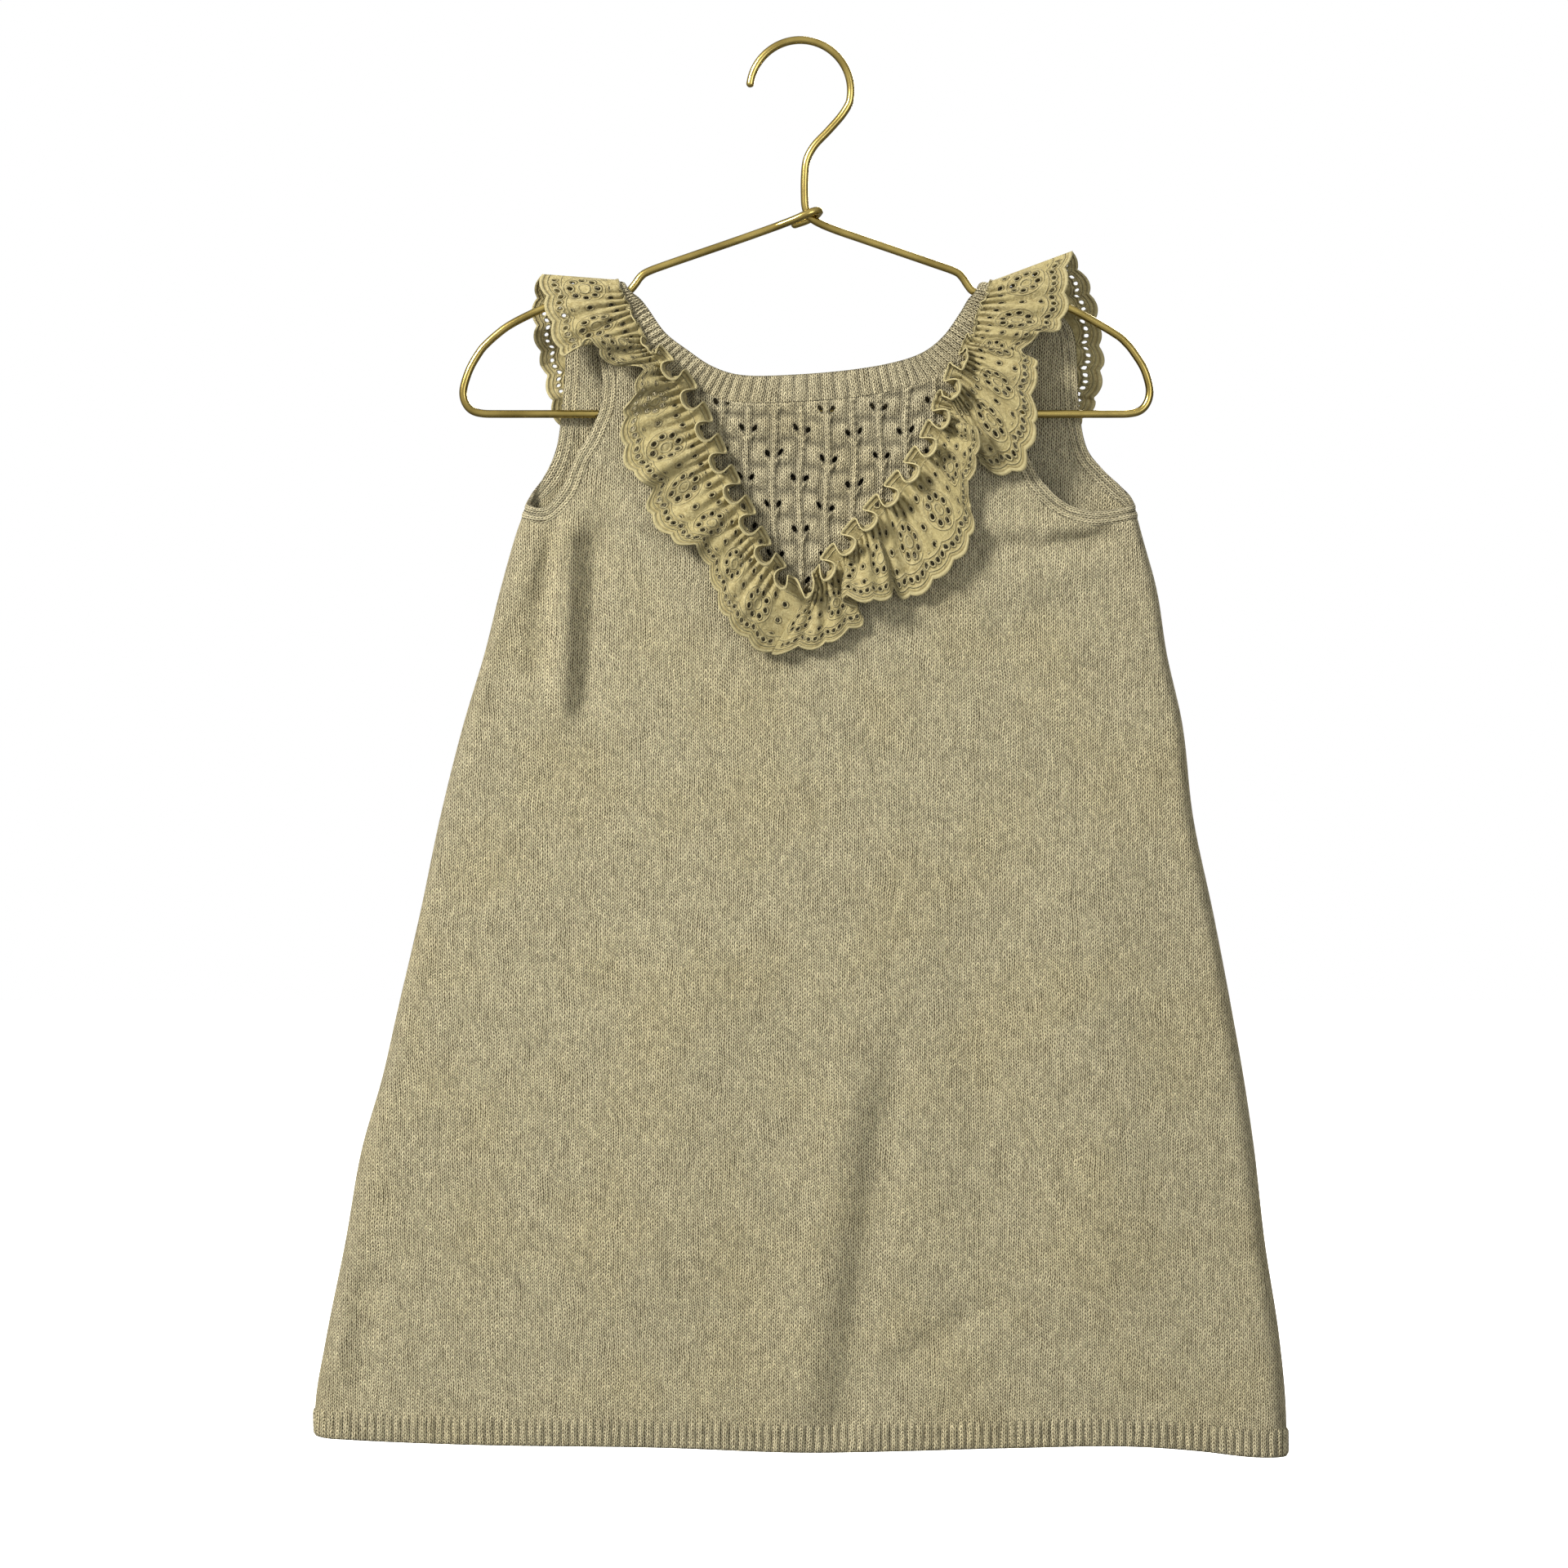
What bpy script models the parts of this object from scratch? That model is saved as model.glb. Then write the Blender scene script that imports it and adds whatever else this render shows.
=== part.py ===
"""A toddler's knit dress with a gathered eyelet flounce, hung flat on a wire hanger.

Lengths are in millimetres until a mesh is made. X runs across the dress, Y from the front (negative) to the
back and Z up. The origin is the inside top of the hanger's hook, where a rail holds it.

Cloth is drawn in flat places (across, up). Between the sides they are simply x and z. Past a side's flat part
the place goes on round the side's fold, and past a strap's flat part it goes on over the hanger's arm.
"""

import math
from collections import namedtuple

import bmesh
import bpy
import numpy as np

METRES = 0.001  # metres in a millimetre
FRONT = -1
BACK = 1

SEAM_GAP = 0.3  # left open where two pieces are sewn together
KNIT = 2.0  # thickness of the plain knit
LACE = 1.0  # thickness of the eyelet cotton
WIRE_RADIUS = 1.75
STRAP_CLEARANCE = 0.6
ARCH = WIRE_RADIUS + STRAP_CLEARANCE + KNIT  # outside radius of a strap where it bends over the hanger's arm

HEM_DEPTH = 12.0
HEM_SEAM = 0.95  # gap over the hem band, where a panel's edge runs straight between its points
HEM_RIBS = 119
HEM_RIB_RISE = 0.6
NECK_RIBS = 67
YOKE_INSET = 0.9
NECK_RIB_RISE = 0.5
BAND_RIB_RISE = 0.5
FULL_TURN = math.pi / 2 + 0.1  # a fold may turn this far, just past the seam plane
LEAF_COLUMN = 11.7  # spacing of the lace's leaf columns
LEAF_REPEAT = 22.0  # height of one leaf repeat
LEAF_RISE = 1.1
FLOUNCE_CLEARANCE = 1.9  # from the cloth to the middle of the flounce where it is sewn on
HEADING = 9.0  # height of the small frill above the flounce's seam

# Silhouette of the dress: where its sides are, how round they fold and how full the cloth is between them.
Side = namedtuple("Side", "z left right fold_radius fullness")
SIDES = (
    Side(-622, -213.2, 214.4, 10.0, 5.0),
    Side(-600, -213.8, 214.0, 10.0, 5.0),
    Side(-571, -209.2, 211.3, 9.8, 5.0),
    Side(-528, -200.6, 204.8, 9.4, 5.0),
    Side(-485, -192.8, 199.8, 9.0, 5.0),
    Side(-456, -184.4, 195.5, 8.7, 4.9),
    Side(-427, -177.8, 190.4, 8.4, 4.7),
    Side(-384, -167.8, 182.2, 7.9, 4.4),
    Side(-341, -158.8, 173.2, 7.3, 4.0),
    Side(-298, -148.0, 168.1, 6.7, 3.6),
    Side(-269, -139.3, 161.6, 6.3, 3.3),
    Side(-240, -132.1, 157.0, 5.9, 3.0),
    Side(-215, -125.0, 150.2, 5.4, 2.7),
    Side(-200, -119.8, 146.5, 5.0, 2.4),
    Side(-160, -119.8, 146.5, ARCH, 1.2),
    Side(-118, -119.8, 146.5, ARCH, 0.0),
    Side(-90, -119.8, 146.5, ARCH, 0.0),
)

Place = namedtuple("Place", "x z")
HEM_LINE = (
    Place(-214, -613.0),
    Place(-190, -614.2),
    Place(-148, -615.6),
    Place(-61, -616.7),
    Place(4, -618.8),
    Place(47, -618.1),
    Place(90, -617.0),
    Place(155, -617.0),
    Place(176, -618.8),
    Place(198, -621.4),
    Place(214, -621.9),
)

# The hanger's wire from its neck to each end of its bar, with the notch that keeps a strap in place.
LEFT_ARM = (
    Place(-13.0, -81.3),
    Place(-28.8, -86.9),
    Place(-57.6, -96.8),
    Place(-67.0, -100.3),
    Place(-70.4, -102.6),
    Place(-73.2, -106.4),
    Place(-76.0, -109.1),
    Place(-82.0, -110.4),
    Place(-90.0, -111.2),
    Place(-98.0, -111.9),
    Place(-105.0, -113.4),
    Place(-113.0, -116.4),
    Place(-122.8, -121.0),
    Place(-129.2, -124.6),
    Place(-133.9, -128.2),
    Place(-137.9, -131.8),
    Place(-141.1, -135.4),
    Place(-145.4, -142.6),
    Place(-148.0, -149.8),
    Place(-148.6, -154.5),
    Place(-147.4, -158.6),
    Place(-144.6, -161.6),
    Place(-140.0, -162.9),
)
RIGHT_ARM = (
    Place(14.4, -81.6),
    Place(28.8, -86.6),
    Place(57.6, -96.5),
    Place(68.0, -100.2),
    Place(71.2, -102.6),
    Place(73.8, -106.4),
    Place(76.4, -109.1),
    Place(82.5, -110.4),
    Place(91.0, -111.2),
    Place(99.0, -111.8),
    Place(107.0, -112.8),
    Place(118.4, -116.4),
    Place(129.0, -122.0),
    Place(139.7, -128.4),
    Place(143.6, -131.8),
    Place(146.6, -135.4),
    Place(151.2, -142.6),
    Place(153.6, -149.8),
    Place(153.9, -154.5),
    Place(152.6, -158.6),
    Place(149.8, -161.6),
    Place(145.0, -162.9),
)
HOOK_RADIUS = 22.3  # of the wire's middle
HOOK_TIP_DEGREES = 172.0
HOOK_BEND = (
    Place(21.4, -26.4),
    Place(18.0, -31.8),
    Place(12.2, -38.4),
    Place(6.2, -44.8),
    Place(2.9, -51.0),
    Place(2.0, -58.0),
    Place(1.9, -66.0),
    Place(2.3, -72.0),
    Place(4.0, -75.8),
    Place(7.0, -78.3),
    Place(14.0, -81.3),
)
# The left arm's end: over the front of the stem's foot, round its right side and behind it.
WrapPoint = namedtuple("WrapPoint", "x y z")
WIRE_WRAP = (
    WrapPoint(-7.2, -1.2, -79.3),
    WrapPoint(-2.2, -3.2, -77.6),
    WrapPoint(2.4, -4.2, -75.6),
    WrapPoint(5.6, -3.7, -74.3),
    WrapPoint(8.0, -1.6, -73.6),
    WrapPoint(8.4, 0.8, -73.7),
    WrapPoint(7.2, 3.0, -74.9),
    WrapPoint(4.8, 4.1, -76.3),
    WrapPoint(1.6, 4.2, -77.7),
    WrapPoint(-2.4, 4.2, -79.0),
)

# Where an edge crosses the hanger's arm: at the front or back of the wire, and over its top.
Crossing = namedtuple("Crossing", "spring_x ridge_x")

# A band of cloth between a free edge and the seam that joins it to a panel.
Band = namedtuple("Band", "edge_x edge_z seam_x seam_z")
NECK = (
    Band(-70.6, -112.6, -82.4, -117.4),
    Band(-67.0, -117.0, -78.2, -124.5),
    Band(-59.5, -127.5, -70.5, -134.5),
    Band(-50.0, -135.0, -59.0, -143.5),
    Band(-38.0, -142.8, -44.5, -152.8),
    Band(-24.0, -146.5, -27.5, -158.2),
    Band(0.0, -146.0, 0.0, -158.0),
    Band(24.0, -143.8, 26.0, -155.8),
    Band(42.0, -140.5, 45.5, -152.0),
    Band(54.0, -136.2, 62.0, -145.5),
    Band(63.0, -129.0, 73.5, -135.5),
    Band(70.0, -119.2, 80.0, -126.0),
    Band(73.6, -113.2, 84.2, -118.0),
)
YOKE_FIRST = 2  # the neck rows between which the lace yoke hangs
YOKE_LAST = 10
NECK_EDGE_TOPS = (Crossing(-75.4, -78.0), Crossing(77.0, 79.6))
NECK_SEAM_TOPS = (Crossing(-85.4, -87.0), Crossing(86.6, 88.4))

UNDERARM_EDGE = -202.0
UNDERARM_SEAM = -209.0
ARMHOLE_TOPS_LEFT = (Crossing(-101.8, -103.0), Crossing(-95.3, -96.5))  # of the free edge and of the seam
ARMHOLE_TOPS_RIGHT = (Crossing(111.6, 113.0), Crossing(105.2, 106.6))
ARMHOLE_FRONT_LEFT = (
    Band(-113.0, -204.6, -111.5, -211.2),
    Band(-105.5, -197.0, -99.8, -201.2),
    Band(-99.0, -182.5, -93.0, -185.5),
    Band(-91.5, -169.5, -85.6, -172.0),
    Band(-87.0, -155.0, -80.6, -155.8),
    Band(-89.0, -139.0, -82.9, -137.5),
    Band(-96.0, -124.5, -90.2, -122.0),
)
ARMHOLE_FRONT_RIGHT = (
    Band(144.2, -204.0, 144.0, -210.4),
    Band(138.5, -205.2, 138.0, -211.8),
    Band(127.0, -206.0, 126.3, -212.6),
    Band(114.5, -201.0, 110.8, -206.6),
    Band(103.5, -188.5, 97.9, -192.2),
    Band(98.0, -172.0, 91.5, -173.0),
    Band(97.5, -155.0, 91.0, -154.0),
    Band(101.5, -138.0, 95.4, -135.8),
    Band(108.0, -124.0, 102.3, -121.0),
)
ARMHOLE_BACK_LEFT = (
    Band(-114.0, -191.5, -108.6, -195.2),
    Band(-108.0, -178.6, -101.8, -181.0),
    Band(-105.5, -163.0, -99.0, -164.0),
    Band(-104.0, -145.0, -97.5, -145.5),
    Band(-103.3, -128.0, -96.8, -128.0),
)
ARMHOLE_BACK_RIGHT = (
    Band(141.5, -194.5, 137.4, -199.6),
    Band(133.0, -186.5, 128.8, -191.4),
    Band(126.5, -177.5, 120.8, -180.6),
    Band(123.5, -163.0, 117.0, -164.0),
    Band(122.3, -145.0, 115.8, -145.5),
    Band(120.6, -127.0, 114.2, -127.8),
)
# The seam between the lace yoke and the front panel, from the V's point up to the neck band.
YOKE_SEAM_LEFT = (
    Place(-5.0, -243.0),
    Place(-18.0, -228.0),
    Place(-27.0, -211.0),
    Place(-36.0, -193.0),
    Place(-44.5, -173.5),
    Place(-53.0, -156.5),
    Place(-61.5, -144.5),
)
YOKE_SEAM_RIGHT = (
    Place(5.0, -243.0),
    Place(16.5, -230.5),
    Place(26.0, -219.5),
    Place(43.0, -200.5),
    Place(54.0, -187.0),
    Place(62.0, -173.0),
    Place(67.5, -158.5),
    Place(71.0, -146.5),
)

# Soft folds of the hanging cloth: a ridge, or a trough where the height is negative, between two places.
Fold = namedtuple("Fold", "x1 z1 x2 z2 width height")
FRONT_FOLDS = (
    Fold(-103, -222, -102, -300, 10, 3.2),
    Fold(-85, -214, -86, -292, 8, -2.4),
    Fold(-123, -240, -142, -325, 8, -2.2),
    Fold(-112, -218, -118, -250, 6, 1.6),
    Fold(138, -216, 84, -233, 9, 2.8),
    Fold(136, -232, 72, -250, 9, -2.0),
    Fold(46, -440, 4, -604, 14, -2.0),
    Fold(22, -470, -10, -590, 18, 2.2),
    Fold(-192, -535, -194, -590, 7, -2.2),
    Fold(-172, -446, -186, -449, 6, -1.6),
    Fold(-44, -380, -70, -560, 26, 1.6),
    Fold(120, -330, 138, -560, 24, 1.8),
    Fold(70, -360, 92, -540, 20, -1.2),
)
BACK_FOLDS = (
    Fold(-92, -215, -100, -310, 11, 2.8),
    Fold(-70, -220, -76, -290, 9, -2.0),
    Fold(112, -222, 122, -300, 12, 2.4),
    Fold(88, -230, 92, -292, 9, -1.8),
    Fold(30, -420, 52, -606, 18, 2.4),
    Fold(2, -440, 8, -596, 16, -1.8),
    Fold(-104, -440, -128, -600, 20, 2.2),
    Fold(150, -450, 160, -585, 12, -2.0),
)

# One row for each place where a flounce's scalloped edge turns: how far along its seam that is, where the
# edge lies in the front view, and how far it stands out from the hanger's plane.
Turn = namedtuple("Turn", "along x z out")
FLOUNCE_SEAM_LEFT = (
    Place(-78.0, -113.5),
    Place(-73.8, -121.5),
    Place(-70.0, -131.0),
    Place(-62.5, -142.0),
    Place(-53.0, -155.5),
    Place(-44.5, -173.5),
    Place(-36.0, -193.0),
    Place(-27.0, -211.0),
    Place(-18.0, -228.5),
    Place(-8.0, -241.0),
    Place(-0.8, -246.0),
)
FLOUNCE_SEAM_RIGHT = (
    Place(0.8, -246.0),
    Place(8.0, -241.5),
    Place(16.5, -231.0),
    Place(26.0, -219.5),
    Place(43.0, -200.5),
    Place(54.0, -187.0),
    Place(62.0, -173.0),
    Place(67.5, -158.5),
    Place(71.5, -146.0),
    Place(74.0, -135.0),
    Place(77.5, -124.0),
    Place(81.0, -114.5),
)
FLOUNCE_TOP_LEFT = Crossing(-79.8, -81.5)
FLOUNCE_TOP_RIGHT = Crossing(83.2, 85.0)
TURNS_FRONT_LEFT = (
    Turn(0.000, -115.0, -101.5, 0.2),
    Turn(0.050, -112.5, -113.0, 7.0),
    Turn(0.090, -109.0, -127.0, 9.5),
    Turn(0.120, -105.0, -138.0, 11.5),
    Turn(0.155, -98.5, -135.5, 15.0),
    Turn(0.185, -92.0, -131.5, 17.0),
    Turn(0.210, -87.5, -138.5, 15.0),
    Turn(0.230, -81.0, -143.0, 11.5),
    Turn(0.255, -75.0, -142.5, 10.5),
    Turn(0.285, -69.5, -144.0, 13.0),
    Turn(0.310, -71.5, -151.0, 16.5),
    Turn(0.335, -74.0, -158.5, 15.5),
    Turn(0.360, -77.5, -164.0, 13.0),
    Turn(0.410, -78.0, -176.0, 11.5),
    Turn(0.470, -75.5, -188.0, 13.0),
    Turn(0.510, -69.0, -193.5, 16.5),
    Turn(0.540, -65.5, -198.0, 13.0),
    Turn(0.575, -67.0, -206.0, 11.5),
    Turn(0.620, -62.0, -214.0, 13.5),
    Turn(0.665, -54.0, -220.5, 16.0),
    Turn(0.705, -46.5, -222.5, 16.5),
    Turn(0.740, -42.5, -227.0, 12.5),
    Turn(0.795, -38.0, -239.0, 13.5),
    Turn(0.860, -33.0, -253.0, 17.0),
    Turn(0.930, -21.5, -265.0, 16.0),
    Turn(1.000, -13.6, -270.5, 14.0),
)
TURNS_FRONT_RIGHT = (
    Turn(0.000, -12.2, -270.4, 14.0),
    Turn(0.035, -3.6, -267.5, 14.5),
    Turn(0.070, 9.6, -266.0, 14.0),
    Turn(0.100, 18.5, -260.8, 14.5),
    Turn(0.130, 27.0, -256.0, 13.0),
    Turn(0.155, 25.0, -250.0, 14.4),
    Turn(0.180, 18.5, -246.0, 17.2),
    Turn(0.200, 21.5, -245.0, 20.6),
    Turn(0.230, 30.5, -247.0, 21.5),
    Turn(0.260, 39.0, -244.5, 19.0),
    Turn(0.285, 41.0, -240.5, 14.0),
    Turn(0.305, 45.0, -245.0, 12.5),
    Turn(0.335, 52.5, -243.0, 14.0),
    Turn(0.375, 64.0, -233.0, 15.5),
    Turn(0.420, 71.5, -225.0, 15.5),
    Turn(0.460, 75.5, -216.0, 14.5),
    Turn(0.495, 75.5, -207.5, 13.0),
    Turn(0.525, 73.5, -200.0, 12.5),
    Turn(0.555, 75.0, -192.0, 14.0),
    Turn(0.585, 77.5, -183.5, 17.0),
    Turn(0.610, 78.0, -172.0, 19.0),
    Turn(0.630, 76.0, -170.5, 14.5),
    Turn(0.645, 77.0, -181.0, 11.0),
    Turn(0.665, 84.0, -189.5, 9.5),
    Turn(0.690, 96.5, -189.0, 11.0),
    Turn(0.715, 100.0, -180.5, 13.5),
    Turn(0.740, 103.5, -169.5, 14.5),
    Turn(0.775, 102.0, -155.0, 14.5),
    Turn(0.805, 104.0, -142.5, 16.0),
    Turn(0.825, 98.0, -137.5, 12.0),
    Turn(0.845, 101.0, -132.0, 10.0),
    Turn(0.865, 106.0, -128.5, 13.0),
    Turn(0.890, 113.5, -126.5, 11.0),
    Turn(0.925, 117.2, -115.0, 9.0),
    Turn(0.960, 117.0, -103.0, 6.5),
    Turn(1.000, 119.5, -91.5, 0.2),
)
HEADING_WAVES_LEFT = 11
HEADING_WAVES_RIGHT = 12

BACK_SEAM_LEFT = (
    Place(-80.0, -115.0),
    Place(-76.5, -130.0),
    Place(-70.0, -147.0),
    Place(-60.0, -165.0),
    Place(-45.0, -184.0),
    Place(-24.0, -203.0),
    Place(-0.4, -212.0),
)
BACK_SEAM_RIGHT = (
    Place(0.4, -212.0),
    Place(26.0, -203.0),
    Place(48.0, -184.0),
    Place(64.0, -165.0),
    Place(74.5, -147.0),
    Place(80.5, -130.0),
    Place(83.5, -115.0),
)
TURNS_BACK_LEFT = (
    Turn(0.00, -115.0, -101.5, 0.2),
    Turn(0.07, -118.0, -114.0, 8.0),
    Turn(0.15, -117.0, -130.0, 11.5),
    Turn(0.24, -113.0, -146.0, 13.0),
    Turn(0.33, -109.0, -163.0, 13.5),
    Turn(0.42, -101.0, -180.0, 13.5),
    Turn(0.53, -87.0, -199.0, 13.5),
    Turn(0.65, -69.0, -217.0, 14.0),
    Turn(0.77, -49.0, -232.0, 14.0),
    Turn(0.89, -25.0, -244.0, 14.0),
    Turn(1.00, -0.4, -249.0, 14.0),
)
TURNS_BACK_RIGHT = (
    Turn(0.00, 0.4, -249.0, 14.0),
    Turn(0.11, 27.0, -243.0, 14.0),
    Turn(0.23, 52.0, -230.0, 14.0),
    Turn(0.35, 75.0, -213.5, 14.0),
    Turn(0.47, 96.0, -195.0, 13.5),
    Turn(0.58, 114.0, -177.0, 13.5),
    Turn(0.67, 128.0, -162.0, 13.0),
    Turn(0.76, 133.5, -147.0, 13.0),
    Turn(0.85, 133.5, -130.0, 12.5),
    Turn(0.93, 129.5, -110.0, 9.0),
    Turn(1.00, 119.5, -91.5, 0.2),
)
CREST_CELLS = 6  # of a flounce where it bends over the hanger's arm
BACK_WAVES = 6
BACK_WAVE_OUT = 3.0
BACK_WAVE_SWAY = 2.6

# How many cells the walls' grids have.
SKIRT_ROWS = 21
BACK_SKIRT_ROWS = 15
UPPER_ROWS = 13
YOKE_ROWS = 10  # of the upper rows, those beside the lace yoke
CROWN_ROWS = 3
FOLD_COLUMNS = 3  # round a side's fold


def smooth(at, xs, ys):
    """Read a smooth curve through the points (xs, ys), whose slope at a point comes from its neighbours."""
    xs = np.asarray(xs, float)
    ys = np.asarray(ys, float)
    slopes = np.gradient(ys, xs)
    at = np.clip(at, xs[0], xs[-1])
    i = np.clip(np.searchsorted(xs, at, side="right") - 1, 0, len(xs) - 2)
    step = xs[i + 1] - xs[i]
    f = (at - xs[i]) / step
    rise = 3 * f**2 - 2 * f**3
    bend_in = step * (f**3 - 2 * f**2 + f) * slopes[i]
    bend_out = step * (f**3 - f**2) * slopes[i + 1]
    return ys[i] + (ys[i + 1] - ys[i]) * rise + bend_in + bend_out


def column(rows, name):
    """One named column of a table."""
    return np.array([getattr(row, name) for row in rows], float)


def along(points, stops):
    """Places on the smooth curve through points, at stops counted in points."""
    points = np.asarray(points, float)
    index = np.arange(len(points))
    return np.stack([smooth(stops, index, points[:, k]) for k in range(points.shape[1])], axis=-1)


def ease(value):
    """0 below 0, 1 above 1 and smooth between."""
    value = np.clip(value, 0.0, 1.0)
    return value * value * (3 - 2 * value)


def arm_height(across):
    """Height of the hanger's wire where a strap can hang on it."""
    notch = sorted([p for p in LEFT_ARM + RIGHT_ARM if 69 < abs(p.x) < 119])
    return np.interp(across, column(notch, "x"), column(notch, "z"))


def side_place(z, side):
    """Flat place of the side seam at a height: the far end of the side's fold."""
    spread = smooth(z, column(SIDES, "z"), column(SIDES, "fold_radius")) * (math.pi / 2 - 1)
    edge = smooth(z, column(SIDES, "z"), column(SIDES, side))
    return np.stack([edge - spread if side == "left" else edge + spread, np.asarray(z, float)], axis=-1)


def fold_height(folds, across, up):
    """Add up the soft folds at a place: each falls off as a bell with the distance from its line."""
    height = np.zeros(np.shape(across))
    for fold in folds:
        run = fold.x2 - fold.x1
        drop = fold.z2 - fold.z1
        part = ((across - fold.x1) * run + (up - fold.z1) * drop) / (run**2 + drop**2)
        part = np.clip(part, 0.0, 1.0)
        gap = (across - fold.x1 - part * run) ** 2 + (up - fold.z1 - part * drop) ** 2
        height = height + fold.height * np.exp(-gap / fold.width**2)
    return height


def on_cloth(face, place):
    """Carry flat places onto the outside of the hanging dress.

    Across, the cloth is flat and turns a quarter circle at each side. Upwards, it turns a quarter circle over
    the hanger's arm. Between the sides it is a little full, and its folds are added.
    """
    across = place[..., 0]
    up = place[..., 1]
    heights = column(SIDES, "z")
    left = smooth(up, heights, column(SIDES, "left"))
    right = smooth(up, heights, column(SIDES, "right"))
    radius = smooth(up, heights, column(SIDES, "fold_radius"))
    fullness = np.maximum(smooth(up, heights, column(SIDES, "fullness")), 0.0)
    turn_left = np.clip((left + radius - across) / radius, 0, FULL_TURN)
    turn_right = np.clip((across - right + radius) / radius, 0, FULL_TURN)
    spring = arm_height(across)
    over = np.clip((up - spring) / ARCH, 0, FULL_TURN)
    x = np.clip(across, left + radius, right - radius) + radius * (np.sin(turn_right) - np.sin(turn_left))
    z = np.minimum(up, spring) + ARCH * np.sin(over)
    middle = (left + right) / 2
    lens = np.clip(1 - ((across - middle) / (right - middle)) ** 2, 0, 1)
    inset = np.minimum(across - left, right - across)
    folds = FRONT_FOLDS if face == FRONT else BACK_FOLDS
    soft = fullness * lens + fold_height(folds, across, up) * ease((inset - 2) / 16) * ease((-205 - up) / 25)
    depth = radius * np.cos(turn_left + turn_right) * np.cos(over) + soft
    return np.stack([x, face * (SEAM_GAP / 2 + depth), z], axis=-1)


def cloth_normal(face, place, reach=0.05):
    """Direction straight out of the cloth, from the slopes of on_cloth."""
    ahead = on_cloth(face, place + [reach, 0]) - on_cloth(face, place - [reach, 0])
    above = on_cloth(face, place + [0, reach]) - on_cloth(face, place - [0, reach])
    normal = np.cross(ahead, above) * -face
    return normal / np.linalg.norm(normal, axis=-1, keepdims=True)


def over_arm(points, crossing):
    """Carry an edge up to the hanger's arm and on to the top of the strap's bend."""
    spring = (crossing.spring_x, float(arm_height(crossing.spring_x)))
    ridge = (crossing.ridge_x, float(arm_height(crossing.ridge_x)) + ARCH * math.pi / 2)
    return list(points) + [spring, ridge]


def settle_on_arm(strap):
    """Set the last rows of a strap's places evenly round the hanger's arm, wherever the wire lies there."""
    strap[..., 1] = arm_height(strap[..., 0]) + np.linspace(0, ARCH * math.pi / 2, len(strap))[:, None]


def strap_line(points, lower_stops=None):
    """Places where a strap's rows cross one of its edges: evenly, then closer over the hanger's arm."""
    last = len(points) - 1
    lower = np.linspace(0, last - 1, UPPER_ROWS + 1) if lower_stops is None else lower_stops
    crown = np.linspace(last - 1, last, CROWN_ROWS + 1)
    return along(points, np.concatenate([lower, crown[1:]]))


def armhole_lines(rows, tops, side):
    """The free edge and the seam of an armhole band, each as places for every strap row."""
    edge = [tuple(side_place(UNDERARM_EDGE, side))] + [(r.edge_x, r.edge_z) for r in rows]
    seam = [tuple(side_place(UNDERARM_SEAM, side))] + [(r.seam_x, r.seam_z) for r in rows]
    return strap_line(over_arm(edge, tops[0])), strap_line(over_arm(seam, tops[1]))


def neck_points(edge_or_seam):
    """The neck band's free edge or seam from one shoulder to the other."""
    rows = [(getattr(r, edge_or_seam + "_x"), getattr(r, edge_or_seam + "_z")) for r in NECK]
    tops = NECK_EDGE_TOPS if edge_or_seam == "edge" else NECK_SEAM_TOPS
    return over_arm([], tops[0])[::-1] + rows + over_arm([], tops[1])


def yoke_side(points, corner, neck_end):
    """One side of the V and the neck seam above it: the yoke's places, then the strap's."""
    points = list(points) + neck_end
    lower = np.concatenate([np.linspace(0, corner, YOKE_ROWS + 1), np.arange(corner + 1, len(points) - 1)])
    return strap_line(points, lower)


def hem_height(across):
    """Height of the dress's lower edge."""
    return smooth(across, column(HEM_LINE, "x"), column(HEM_LINE, "z"))


def between(start, end, parts):
    """Rule a grid from the places in start to those in end."""
    parts = np.asarray(parts, float)
    if parts.ndim == 1:
        parts = np.broadcast_to(parts, (len(start), len(parts)))
    return start[:, None] + (end - start)[:, None] * parts[..., None]


def rim(mesh, fine, start, end):
    """Close the strip between a run of outer points and the one inner edge beside it."""
    middle = len(fine) // 2
    for k in range(len(fine) - 1):
        mesh.faces.new((fine[k], fine[k + 1], start if k < middle else end))
    mesh.faces.new((start, fine[middle], end))


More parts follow.
